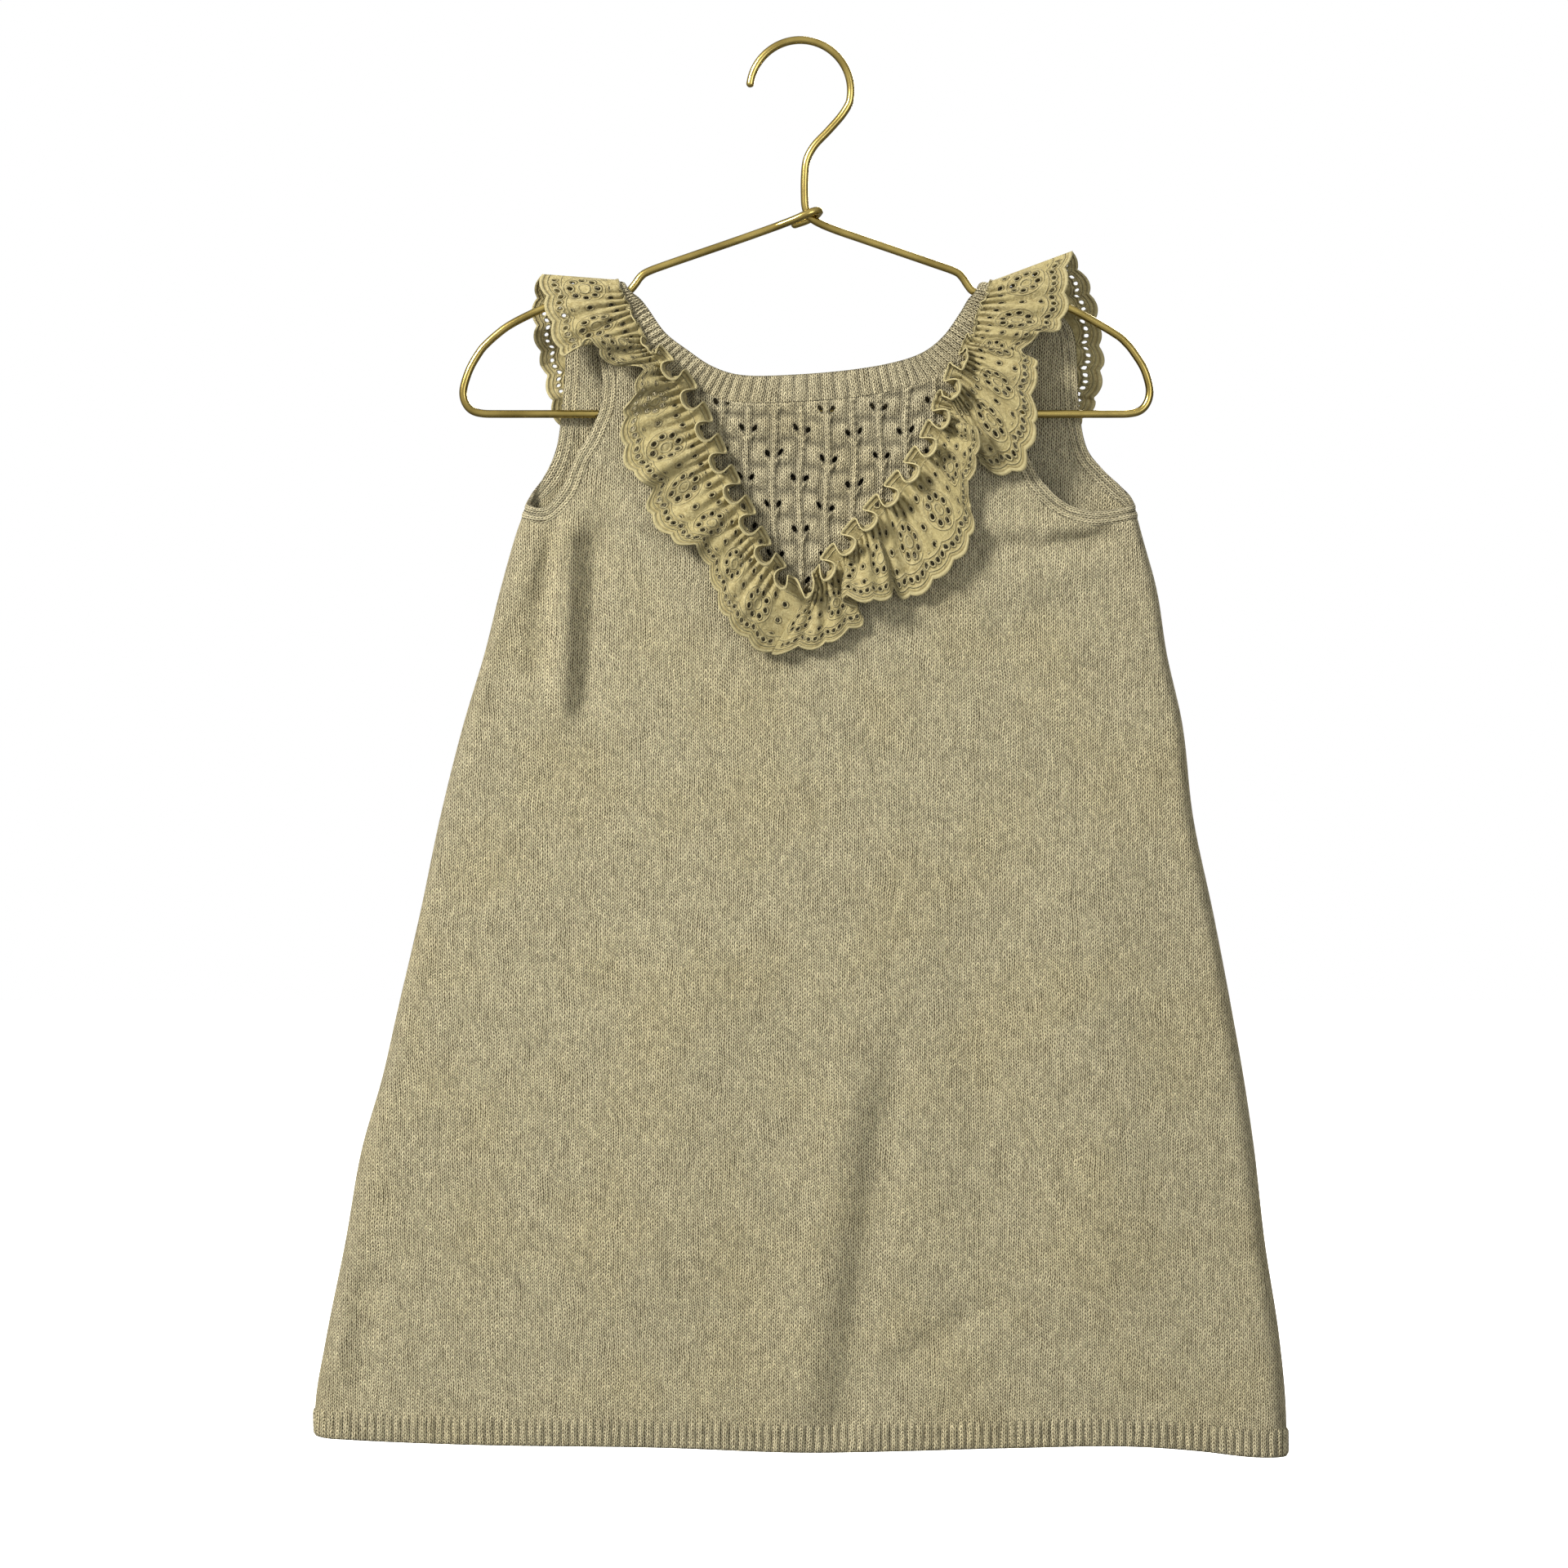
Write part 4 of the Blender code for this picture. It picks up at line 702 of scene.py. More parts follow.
    def skirt_side(self, flank: Flank) -> Array:
        """Flat places of a side seam from the hem band up to the underarm."""
        end = -self.half_hem if flank is Flank.LEFT else self.half_hem
        bottom = float(self.hem_height(end)) + HEM_DEPTH + SEAM_GAP
        return self.side_place(np.linspace(bottom, UNDERARM[Line.SEAM], self.skirt_rows + 1), flank)


@dataclass
class Sheet:
    """Cloth as a grid of points with an outer and an inner side, ready to be made a closed shell."""

    outer: Array
    inner: Array
    flat: Array
    keep: Array | None = None  # positive where there is cloth, in millimetres from a hole's outline
    cells: Array | None = None  # False where a whole cell is left out
    marks: dict[str, Array] | None = None  # numbers that the finish reads at each point

    def faces(self) -> tuple[Array, Array, Array, Array]:
        """Split the grid into faces, cutting them where keep crosses zero.

        A cell with four corners on the cloth is one face. Any other is two triangles, and each that has a
        corner in a hole is cut where the straight line between the corners' keep values reaches zero.

        Returns:
            Quads, triangles, and the cut points as pairs of grid points with the share between them.
        """
        shape = self.outer.shape[:2]
        keep = (np.ones(shape) if self.keep is None else self.keep).ravel()
        cells = np.ones((shape[0] - 1, shape[1] - 1), bool) if self.cells is None else self.cells
        index = np.arange(len(keep)).reshape(shape)
        quads = np.stack([index[:-1, :-1], index[:-1, 1:], index[1:, 1:], index[1:, :-1]], axis=-1)[cells]
        whole = (keep[quads] > 0).all(axis=1)
        mixed = quads[~whole & (keep[quads] > 0).any(axis=1)]
        corners = np.concatenate([mixed[:, [0, 1, 2]], mixed[:, [0, 2, 3]]])
        inside = keep[corners] > 0
        count = inside.sum(axis=1)
        turn = np.arange(3)
        one = count == 1
        two = count == 2
        tip = np.take_along_axis(corners[one], (np.argmax(inside[one], 1)[:, None] + turn) % 3, 1)
        out = np.take_along_axis(corners[two], (np.argmin(inside[two], 1)[:, None] + turn) % 3, 1)
        pairs = np.concatenate([tip[:, [0, 1]], tip[:, [0, 2]], out[:, [0, 1]], out[:, [0, 2]]])
        cuts, where = np.unique(np.sort(pairs, axis=1), axis=0, return_inverse=True)
        ends = np.cumsum([len(tip), len(tip), len(out)])
        first, second, third, fourth = np.split(where.ravel() + len(keep), ends)
        share = keep[cuts[:, 0]] / (keep[cuts[:, 0]] - keep[cuts[:, 1]])
        quads = np.concatenate([quads[whole], np.stack([out[:, 1], out[:, 2], fourth, third], axis=-1)])
        tips = np.stack([tip[:, 0], first, second], axis=-1)
        return quads, np.concatenate([corners[count == 3], tips]), cuts, share

    def make(self, name: str, finish: bpy.types.Material) -> bpy.types.Object:
        """Make the closed shell: both sides, and a wall along every edge that only one face has.

        Args:
            name: The piece's name.
            finish: Its material.

        Returns:
            The new object.
        """
        quads, triangles, cuts, share = self.faces()
        share = share[:, None]
        marks = self.marks or {}
        layers = [self.outer, self.inner, self.flat] + [mark[..., None] for mark in marks.values()]
        values = np.concatenate(layers, axis=-1)
        values = values.reshape(-1, values.shape[-1])
        values = np.concatenate([values, values[cuts[:, 0]] * (1 - share) + values[cuts[:, 1]] * share])
        a, b, c = (values[quads[:, k], :3] for k in (0, 1, 3))
        facing = (np.cross(b - a, c - a) * (values[quads[:, 0], :3] - values[quads[:, 0], 3:6])).sum()
        if facing < 0:
            quads, triangles = quads[:, ::-1], triangles[:, ::-1]
        used, order = np.unique(np.concatenate([quads.ravel(), triangles.ravel()]), return_inverse=True)
        values = values[used]
        total = len(used)
        quads = order[:quads.size].reshape(quads.shape)
        triangles = order[quads.size:].reshape(triangles.shape)
        edges = [np.stack([f, np.roll(f, -1, axis=1)], axis=-1).reshape(-1, 2) for f in (quads, triangles)]
        start, end = np.concatenate(edges).T
        lone = ~np.isin(start * total + end, end * total + start)
        start, end = start[lone], end[lone]
        wall = np.stack([end, start, start + total, end + total], axis=-1)
        faces = np.concatenate([quads, quads[:, ::-1] + total, wall]).tolist()
        faces += np.concatenate([triangles, triangles[:, ::-1] + total]).tolist()
        points = np.concatenate([values[:, :3], values[:, 3:6]])
        piece = make_piece(name, points, faces, np.tile(values[:, 6:8], (2, 1)), finish)
        for k, mark in enumerate(marks, start=8):
            layer = piece.data.attributes.new(mark, "FLOAT", "POINT")
            layer.data.foreach_set("value", np.tile(values[:, k], 2).astype(np.float32))
        piece.data.set_sharp_from_angle(angle=math.radians(60))
        return piece


def lay_on_form(
    form: DressForm, face: Face, places: Array, thickness: float, rise: Array | float = 0.0
) -> tuple[Array, Array]:
    """Give flat places an outer side, raised by rise, and an inner side one thickness below the form.

    Args:
        form: The dress's outside.
        face: The front or the back.
        places: Flat places, rows by columns by two.
        thickness: Of the cloth, in millimetres.
        rise: How far the outer side stands above the form.

    Returns:
        The outer and the inner points, both kept on their own side of the seam plane.
    """
    base = form.outside(face, places)
    normal = form.normal(face, places)
    outer = base + normal * np.broadcast_to(rise, places.shape[:2])[..., None]
    inner = base - normal * thickness
    for points in (outer, inner):
        points[..., 1] = face.value * np.maximum(face.value * points[..., 1], SEAM_GAP / 2)
    return outer, inner


class Term:
    """A number in a pattern, on which plain arithmetic adds the nodes that work it out."""

    def __init__(self, nodes: "Nodes", socket: Socket) -> None:
        """Take a socket of one of those nodes."""
        self.nodes = nodes
        self.socket = socket

    def step(self, operation: str, *others: object) -> "Term":
        """One step of arithmetic that starts from this number."""
        return self.nodes.math(operation, self, *others)

    def ramp(self, low: float, high: float) -> "Term":
        """0 up to the low value, 1 past the high one and smooth between; low above high turns it round."""
        inputs = {"Value": self, "From Min": low, "From Max": high}
        node = self.nodes.node("ShaderNodeMapRange", inputs, interpolation_type="SMOOTHSTEP")
        return Term(self.nodes, node.outputs[0])

    def line(self, middle: float, half: float) -> "Term":
        """1 where the number is at the middle of a line, falling smoothly to 0 at its edges."""
        return abs(self - middle).ramp(half, 0.0)

    def __rsub__(self, other: float) -> "Term":
        """A plain number less this one."""
        return self.nodes.math("SUBTRACT", other, self)

    __add__ = partialmethod(step, "ADD")
    __sub__ = partialmethod(step, "SUBTRACT")
    __mul__ = partialmethod(step, "MULTIPLY")
    __truediv__ = partialmethod(step, "DIVIDE")
    __pow__ = partialmethod(step, "POWER")
    __abs__ = partialmethod(step, "ABSOLUTE")


class Nodes:
    """Adds nodes to one tree, so that a pattern reads as a sum of plain steps."""

    def __init__(self, tree: bpy.types.NodeTree) -> None:
        """Take the tree that the nodes go into."""
        self.tree = tree

    def node(self, kind: str, inputs: dict | None = None, **settings: object) -> bpy.types.Node:
        """Add a node, set its options, and join or set its inputs.

        Args:
            kind: The node's type.
            inputs: Numbers, colours or sockets for its inputs.
            settings: Its options.

        Returns:
            The node.
        """
        node = self.tree.nodes.new(kind)
        for key, value in settings.items():
            setattr(node, key, value)
        self.fill(node, inputs or {})
        return node

    def fill(self, node: bpy.types.Node, inputs: dict) -> None:
        """Join or set inputs of a node."""
        for key, value in inputs.items():
            self.put(node.inputs[key], value)

    def put(self, socket: Socket, value: object) -> None:
        """Join another socket to this one, or set its number or colour.

        Args:
            socket: The input.
            value: A term, a socket, a colour or a number.
        """
        if isinstance(value, Term):
            value = value.socket
        if isinstance(value, bpy.types.NodeSocket):
            self.tree.links.new(value, socket)
        elif isinstance(value, tuple) and socket.type == "RGBA":
            socket.default_value = (*value, 1.0)
        else:
            socket.default_value = value

    def math(self, operation: str, *values: object) -> Term:
        """One step of arithmetic."""
        node = self.node("ShaderNodeMath", dict(enumerate(values)), operation=operation)
        return Term(self, node.outputs[0])

    def noise(
        self, place: object, scale: float, detail: float = 2.0, roughness: float = 0.5, output: str = "Fac"
    ) -> Term:
        """Soft noise at a place."""
        inputs = {"Vector": place, "Scale": scale, "Detail": detail, "Roughness": roughness}
        return Term(self, self.node("ShaderNodeTexNoise", inputs).outputs[output])

    def mix(self, share: object, low: object, high: object, blend: str = "MIX") -> Socket:
        """Mix two colours."""
        inputs = {0: share, 6: low, 7: high}
        return self.node("ShaderNodeMix", data_type="RGBA", blend_type=blend, inputs=inputs).outputs[2]

    def thirds(self, colour: object) -> tuple[Term, Term, Term]:
        """A colour's three parts, as numbers."""
        red, green, blue = self.node("ShaderNodeSeparateColor", {0: colour}).outputs
        return Term(self, red), Term(self, green), Term(self, blue)

    def join(self, x: object, y: object) -> Socket:
        """A place made from two numbers."""
        return self.node("ShaderNodeCombineXYZ", {0: x, 1: y}).outputs[0]


class Shader(Nodes):
    """The nodes of one new material."""

    def __init__(self, name: str) -> None:
        """Start a material with its Principled shader."""
        self.material = bpy.data.materials.new(name)
        self.material.use_nodes = True
        super().__init__(self.material.node_tree)
        self.surface = self.tree.nodes["Principled BSDF"]

    def flat(self) -> tuple[Socket, Term, Term]:
        """The piece's flat place in millimetres, whole and as its two parts."""
        place = self.node("ShaderNodeUVMap", uv_map="flat").outputs[0]
        parts = self.node("ShaderNodeSeparateXYZ", {0: place}).outputs
        return place, Term(self, parts[0]), Term(self, parts[1])

    def mark(self, name: str) -> Term:
        """A number that the piece's mesh carries at each point."""
        return Term(self, self.node("ShaderNodeAttribute", attribute_name=name).outputs["Fac"])

    def bump(self, height: Term, distance: float) -> None:
        """Let a height in millimetres shape the surface."""
        inputs = {"Height": height, "Distance": distance * METRES, "Strength": 1.0}
        self.fill(self.surface, {"Normal": self.node("ShaderNodeBump", inputs).outputs[0]})


@dataclass(frozen=True)
class KnitFinish:
    """Slubbed khaki cotton in stocking stitch: plump V-shaped strands, pits darkened as painted shade, and
    pale flecks.
    """

    light: tuple = (0.72, 0.648, 0.435)
    # painted shade for the strands' low parts
    dark: tuple = (0.11, 0.083, 0.034)
    # painted shade for the pits between strands
    pit: tuple = (0.05, 0.034, 0.01)
    worn: tuple = (1.0, 0.985, 0.94)  # tint of the warmer patches
    wale: float = 1.95
    course: float = 1.6
    slant: float = 0.9  # how many courses a strand climbs from the wale's middle to its edge
    drift_across: float = 3.0  # how far the wales wander
    drift_up: float = 5.0
    relief: float = 1.5
    paint_relief_shade: bool = False  # whether painted shade darkens the mesh's relief valleys and the cloth beside its holes

    def make(self, name: str) -> bpy.types.Material:
        """Build the material.

        A stitch's strand is a ridge where the height, in courses, less the slant times the distance from the
        wale's middle, is a whole number. It is rounded across each half wale, and pits stay between strands.
        The colour goes dark where the height is low and darker in the pits: painted shade.

        Args:
            name: The material's name.

        Returns:
            The material.
        """
        s = Shader(name)
        place, across, up = s.flat()
        drift = s.thirds(s.noise(place, 0.06, 1.5, output="Color"))
        across = (drift[0] - 0.5) * self.drift_across + across
        up = (drift[1] - 0.5) * self.drift_up + up
        wales = across / self.wale
        wale = wales.step("FLOOR")
        side = wales.step("FRACT") - 0.5
        off = abs(side) * 2.0
        climb = up / self.course - off * self.slant
        stitch = s.join(side.step("SIGN") * 0.25 + wale, climb.step("FLOOR"))
        chance = s.node("ShaderNodeTexWhiteNoise", {"Vector": stitch}, noise_dimensions="2D")
        lots = s.thirds(chance.outputs["Color"])
        strand = (climb.step("PINGPONG", 0.5) * 2.0).ramp(0.05, 0.75)
        leg = abs(off - 0.48).ramp(0.52, 0.12)
        height = (strand * 0.65 + 0.35) * (leg * 0.7 + 0.3) * (Term(s, chance.outputs["Value"]) * 0.6 + 0.7)
        sunk = off.ramp(0.72, 1.0).step("MAXIMUM", off.ramp(0.3, 0.0))
        pit = (1.0 - strand) * sunk * lots[2].ramp(0.25, 0.9)
        fuzz = s.noise(place, 2.2, 3.0, 0.7)
        slub = s.noise(s.join(across, up * 0.45), 0.33, 3.0, 0.6)
        furrow = s.noise(s.join(wale * 0.37, up * 0.06), 1.0).ramp(0.45, 0.7) * off.ramp(0.62, 0.98)
        height = height + (fuzz - 0.5) * 0.8 - pit * 0.55 - furrow * 0.35
        fleck = lots[1].ramp(0.7, 1.0) * 0.3
        light = s.mix(fleck, self.light, tuple(min(1.0, 1.3 * c) for c in self.light))
        # Painted shade: the colour goes dark where the stitch's height is low, and darkest in the pits.
        colour = s.mix(pit * 0.95, s.mix(height.ramp(0.06, 0.54), self.dark, light), self.pit)
        patch = s.noise(place, 0.02).ramp(0.4, 0.7)
        colour = s.mix(patch, colour, s.mix(1.0, colour, self.worn, "MULTIPLY"))
        shade = (slub.ramp(0.36, 0.64) * 0.08 + 0.96) * (lots[0] * 0.34 + 0.84)
        # Painted shade: darker in the mesh's relief valleys, such as between ribs and round the lace's puffs,
        # and on the cloth beside its holes.
        if self.paint_relief_shade:
            shade = shade * (s.mark("relief").ramp(0.0, 0.5) * 0.5 + 0.58)
            shade = shade * (1.0 - s.mark("hole_gap").ramp(0.9, 0.0) * 0.5)
        grey = s.node("ShaderNodeCombineColor", {0: shade, 1: shade, 2: shade}).outputs[0]
        s.fill(s.surface, {
            "Base Color": s.mix(1.0, colour, grey, "MULTIPLY"),
            "Roughness": fuzz * 0.15 + 0.82,
            "Specular IOR Level": 0.1,
            "Sheen Weight": 0.06,
            "Sheen Roughness": 0.6,
        })
        s.bump(height, self.relief)
        return s.material


@dataclass(frozen=True)
class EyeletFinish:
    """Soft khaki cotton with worked eyelets: raised rims, corded lines and a satin-stitched edge."""

    cloth: tuple = (0.36, 0.308, 0.143)
    pale: tuple = (0.46, 0.403, 0.22)
    satin: tuple = (0.41, 0.362, 0.2)
    # painted shade, for the cloth's low places and the grooves beside its stitching
    shade: tuple = (0.12, 0.085, 0.03)
    rim: float = 0.8  # width of the stitching round a hole
    border: float = 1.5  # width of the satin edge
    relief: float = 0.62

    def make(self, name: str) -> bpy.types.Material:
        """Build the material. Its marks say how far each point is from a hole, a flower and the free edge.

        Args:
            name: The material's name.

        Returns:
            The material.
        """
        s = Shader(name)
        place, across, up = s.flat()
        hole = s.mark("hole_gap")
        edge = s.mark("edge_gap")
        flower = s.mark("flower")
        ring = hole.ramp(self.rim, self.rim * 0.6)
        ring_top = hole.line(self.rim * 0.45, self.rim * 0.6)
        border = edge.ramp(self.border + 0.2, self.border - 0.1)
        border_top = (1.0 - ((edge - 0.7) / 0.9) ** 2.0).step("MAXIMUM", 0.0)
        cords = edge.line(3.1, 0.45) + edge.line(8.2, 0.45) * 0.8
        petals = flower.line(2.2, 0.7) + flower.line(7.9, 0.5) * 0.6
        stitched = (ring + border + (cords + petals)).step("MINIMUM", 1.0)
        groove = edge.line(self.border + 0.35, 0.35) + hole.line(self.rim + 0.15, 0.25)
        threads = s.noise(s.join(across * 3.0, up * 0.5), 1.0)
        grain = s.noise(place, 1.1, 5.0, 0.7)
        crumple = s.noise(place, 0.35, 3.0, 0.55)
        cloud = s.noise(place, 0.07)
        tone = (grain - 0.5) * 1.5 + (crumple + 0.05)
        # Painted shade: where the grain and crumple that also shape the bump are low, the colour goes towards
        # the shade colour.
        colour = s.mix(tone.ramp(0.15, 0.95), s.mix(0.55, self.cloth, self.shade), self.pale)
        colour = s.mix(cloud.ramp(0.35, 0.7) * 0.45, colour, self.cloth)
        colour = s.mix(stitched * (threads * 0.8 + 0.3), colour, self.satin)
        # Painted shade in the grooves beside the satin edge and round each hole's rim.
        colour = s.mix(groove * 0.55, colour, self.shade)
        height = ring_top * 1.2 + border_top * border * 1.2 + (cords + petals) * 0.9
        height = height + threads * stitched * 0.6 + (grain * 0.8 + crumple * 1.1)
        s.fill(s.surface, {
            "Base Color": colour,
            "Roughness": stitched * -0.15 + 0.82,
            "Specular IOR Level": 0.1,
            "Sheen Weight": 0.05,
        })
        s.bump(height, self.relief)
        return s.material


@dataclass(frozen=True)
class BrassFinish:
    """Brushed brass wire: gold, drawn fine lines along it and a little darker in places."""

    bright: tuple = (0.56, 0.44, 0.15)
    dull: tuple = (0.31, 0.235, 0.07)
    relief: float = 0.015

    def make(self, name: str) -> bpy.types.Material:
        """Build the material from streaks that run along the wire.

        Args:
            name: The material's name.

        Returns:
            The material.
        """
        s = Shader(name)
        place, length, turn = s.flat()
        streak = s.noise(s.join(length * 0.05, turn * 2.2), 1.0, 3.0)
        cloud = s.noise(place, 0.06, 3.0)
        s.fill(s.surface, {
            "Base Color": s.mix(cloud.ramp(0.3, 0.75), self.bright, self.dull),
            "Metallic": 1.0,
            "Roughness": streak * 0.12 + 0.16,
        })
        s.bump(streak, self.relief)
        return s.material


@dataclass(frozen=True)
class Declared:
    """What a cut piece of cloth says of itself: the CAD node whose solid it takes over, and a slot and a hold
    that are kept but not read.
    """

    node: str
    slot: str
    held: str = "hung"

    def join(self, piece: bpy.types.Object) -> bpy.types.Object:
        """Ride the piece on the body and let it replace its solid.

        Args:
            piece: The finished piece.

        Returns:
            The same piece.
        """
        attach(piece, "root")
        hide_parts(self.node)
        log.info("%s: %d faces", piece.name, len(piece.data.polygons))
        return piece

    def dress(
        self, piece: bpy.types.Object, area: float
    ) -> None:
        """Join the piece to the dress.

        Args:
            piece: The finished piece.
            area: Its flat area in square metres; not used.
        """
        self.join(piece)


@dataclass(frozen=True)
class Body:
    """The front and back panels, in plain knit, with the front's V cut out for the yoke."""

    form: DressForm
    thickness: float = 1.3
    outer_columns: int = 56
    fold_columns: int = 12
    front_middle: int = 2
    front_guides: tuple = (-16.0, 0.0)  # where the front's guides start at the hem
    back_middle: int = 24
    back_guides: tuple = (-46.0, 46.0)
    back_skirt_rows: int = 110
    back_join_rows: int = 30  # upper rows of the back below its neck
    back_neck: tuple = (7, 9)  # points of the neck's seam where the back's guides meet it
    back_neck_rows: int = 36  # rows below the neck that still bend with it
    spread_after: int = 6  # rows above the underarm where the fold's columns begin to spread
    spread_rows: int = 30

    def fold_share(self, edge: Array, inner: Array, skirt_rows: int) -> Array:
        """Part of each row's first stretch that lies round the side's fold; it widens past the underarm.

        Args:
            edge: Places of the panel's side.
            inner: Where its first stretch ends.
            skirt_rows: How many rows lie below the underarm.

        Returns:
            One share for each row.
        """
        length = np.linalg.norm(inner - edge, axis=-1)
        radius = smooth(edge[:, 1], column(SIDES, "z"), column(SIDES, "fold_radius"))
        tight = radius * math.pi / 2 / length
        spread = self.fold_columns / self.outer_columns
        above = np.arange(len(edge)) - skirt_rows - self.spread_after
        return tight + (spread - tight) * ease(above / self.spread_rows)

    def guide(self, form: DressForm, start: float, upper: Array, rows: int) -> Array:
        """A line up a panel: straight from the hem to the first of the upper places, then along them."""
        hem = np.array([start, float(form.hem_height(start)) + HEM_DEPTH])
        return np.concatenate([hem + (upper[0] - hem) * np.linspace(0, 1, rows + 1)[:, None], upper[1:]])

    def places(self, form: DressForm, face: Face, guides: list[Array], middle: int) -> Array:
        """Rule a panel's grid in three stretches across, the outer ones starting round the side's fold.

        Args:
            form: The dress's outside, with this panel's rows.
            face: The front or the back.
            guides: Where the left stretch ends and where the right one starts, row by row.
            middle: Cells between the guides.

        Returns:
            The flat places, rows by columns by two, with the lowest rows bent along the hem band.
        """
        edges = [
            np.concatenate([form.skirt_side(flank), form.armhole_line(face, flank, Line.SEAM)[1:]])
            for flank in Flank
        ]
        share = self.fold_share(edges[0], guides[0], form.skirt_rows)[:, None]
        inside = np.linspace(0, 1, self.outer_columns - self.fold_columns + 1)[1:]
        fold = np.linspace(0, 1, self.fold_columns + 1)
        parts = np.concatenate([share * fold, share + (1 - share) * inside], axis=1)
        grid = np.concatenate([
            between(edges[0], guides[0], parts),
            between(guides[0], guides[1], np.linspace(0, 1, middle + 1))[:, 1:],
            between(edges[1], guides[1], parts)[:, ::-1][:, 1:],
        ], axis=1)
        target = form.hem_height(grid[..., 0]) + HEM_DEPTH + SEAM_GAP
        fade = np.clip(1 - np.arange(len(grid)) / (form.skirt_rows / 2), 0, 1) ** 2
        grid[..., 1] += (target - grid[:1, :, 1]) * fade[:, None]
        return grid

    def dip_under_arm(
        self, grid: Array, first: int, depth: float = 7.0, within: float = 8.0, rows: int = 42
    ) -> None:
        """Let the rows that start along an armhole's low part drop away from it before they run across.

        Args:
            grid: The panel's flat places, which change.
            first: The underarm's row.
            depth: How far the first row drops.
            within: How soon it has dropped.
            rows: How many rows drop.
        """
        drop = depth * (1 - ease(np.arange(rows) / rows))[:, None]
        for block in (grid[first:first + rows], grid[first:first + rows, ::-1]):
            block = block[:, :self.outer_columns + 1]
            reach = np.abs(block[..., 0] - block[:, :1, 0])
            fade = (1 - np.exp(-reach / within)) * (1 - reach / reach[:, -1:]) ** 2
            block[..., 1] -= drop * fade

    def sew(
        self, form: DressForm, face: Face, grid: Array, opening: tuple[int, int],
        finish: bpy.types.Material,
    ) -> None:
        """Cut a panel's neck out and make the panel.

        Args:
            form: The dress's outside, with this panel's rows.
            face: The front or the back.
            grid: The panel's flat places.
            opening: The row where the opening starts, and how many cells wide it is.
            finish: The panel's material.
        """
        form.settle_on_arm(grid[-form.crown_rows - 1:])
        first, middle = opening
        cells = np.ones((grid.shape[0] - 1, grid.shape[1] - 1), bool)
        cells[first:, self.outer_columns:self.outer_columns + middle] = False
        outer, under = lay_on_form(form, face, grid, self.thickness)
        side = face.name.lower()
        flat = grid + BACK_CLOTH if face is Face.BACK else grid
        piece = Sheet(outer, under, flat, cells=cells).make(f"{side}_panel", finish)
        Declared(f"{side}_body", f"{side}_knit").dress(
            piece, flat_area(grid, cells))

    def front(self, finish: bpy.types.Material, bands: tuple) -> None:
        """Front panel: skirt, two armholes, two straps and the V.

        Args:
            finish: The piece's material.
            bands: The armhole bands sewn to it; not used.
        """
        form = self.form
        rows = form.skirt_rows
        guides = [
            self.guide(form, start, form.yoke_side(flank), rows)
            for flank, start in zip(Flank, self.front_guides)
        ]
        grid = self.places(form, Face.FRONT, guides, self.front_middle)
        self.dip_under_arm(grid, rows)
        self.sew(form, Face.FRONT, grid, (rows, self.front_middle), finish)

    def back(self, finish: bpy.types.Material, bands: tuple) -> None:
        """Back panel: skirt, wide straps and the neck's cut-out.

        Args:
            finish: The piece's material.
            bands: The armhole bands sewn to it; not used.
        """
        form = DressForm(skirt_rows=self.back_skirt_rows)
        neck = form.neck_points(Line.SEAM)
        low, high = self.back_neck
        full = self.back_skirt_rows + self.back_join_rows
        steps = np.linspace(0, 8, form.upper_rows - self.back_join_rows + 1)
        stops = np.interp(steps, range(9), [0, 0.5, 1, 1.5, 2, 3, 4, 5, 6])  # closer at the neck's bottom
        guides = [
            self.guide(form, start, form.strap_line(seam, stops), full)
            for start, seam in zip(self.back_guides, (neck[low::-1], neck[high:]))
        ]
        middle = self.back_middle
        grid = self.places(form, Face.BACK, guides, middle)
        bottom = along(neck, np.linspace(low, high, middle + 1))
        fade = np.clip(1 - (full - np.arange(full + 1)) / self.back_neck_rows, 0, 1) ** 2
        sag = bottom[:, 1] - np.interp(bottom[:, 0], bottom[[0, -1], 0], bottom[[0, -1], 1])
        hollow = slice(self.outer_columns, self.outer_columns + middle + 1)
        grid[:full + 1, hollow, 1] += sag * fade[:, None]
        self.sew(form, Face.BACK, grid, (full, middle), finish)


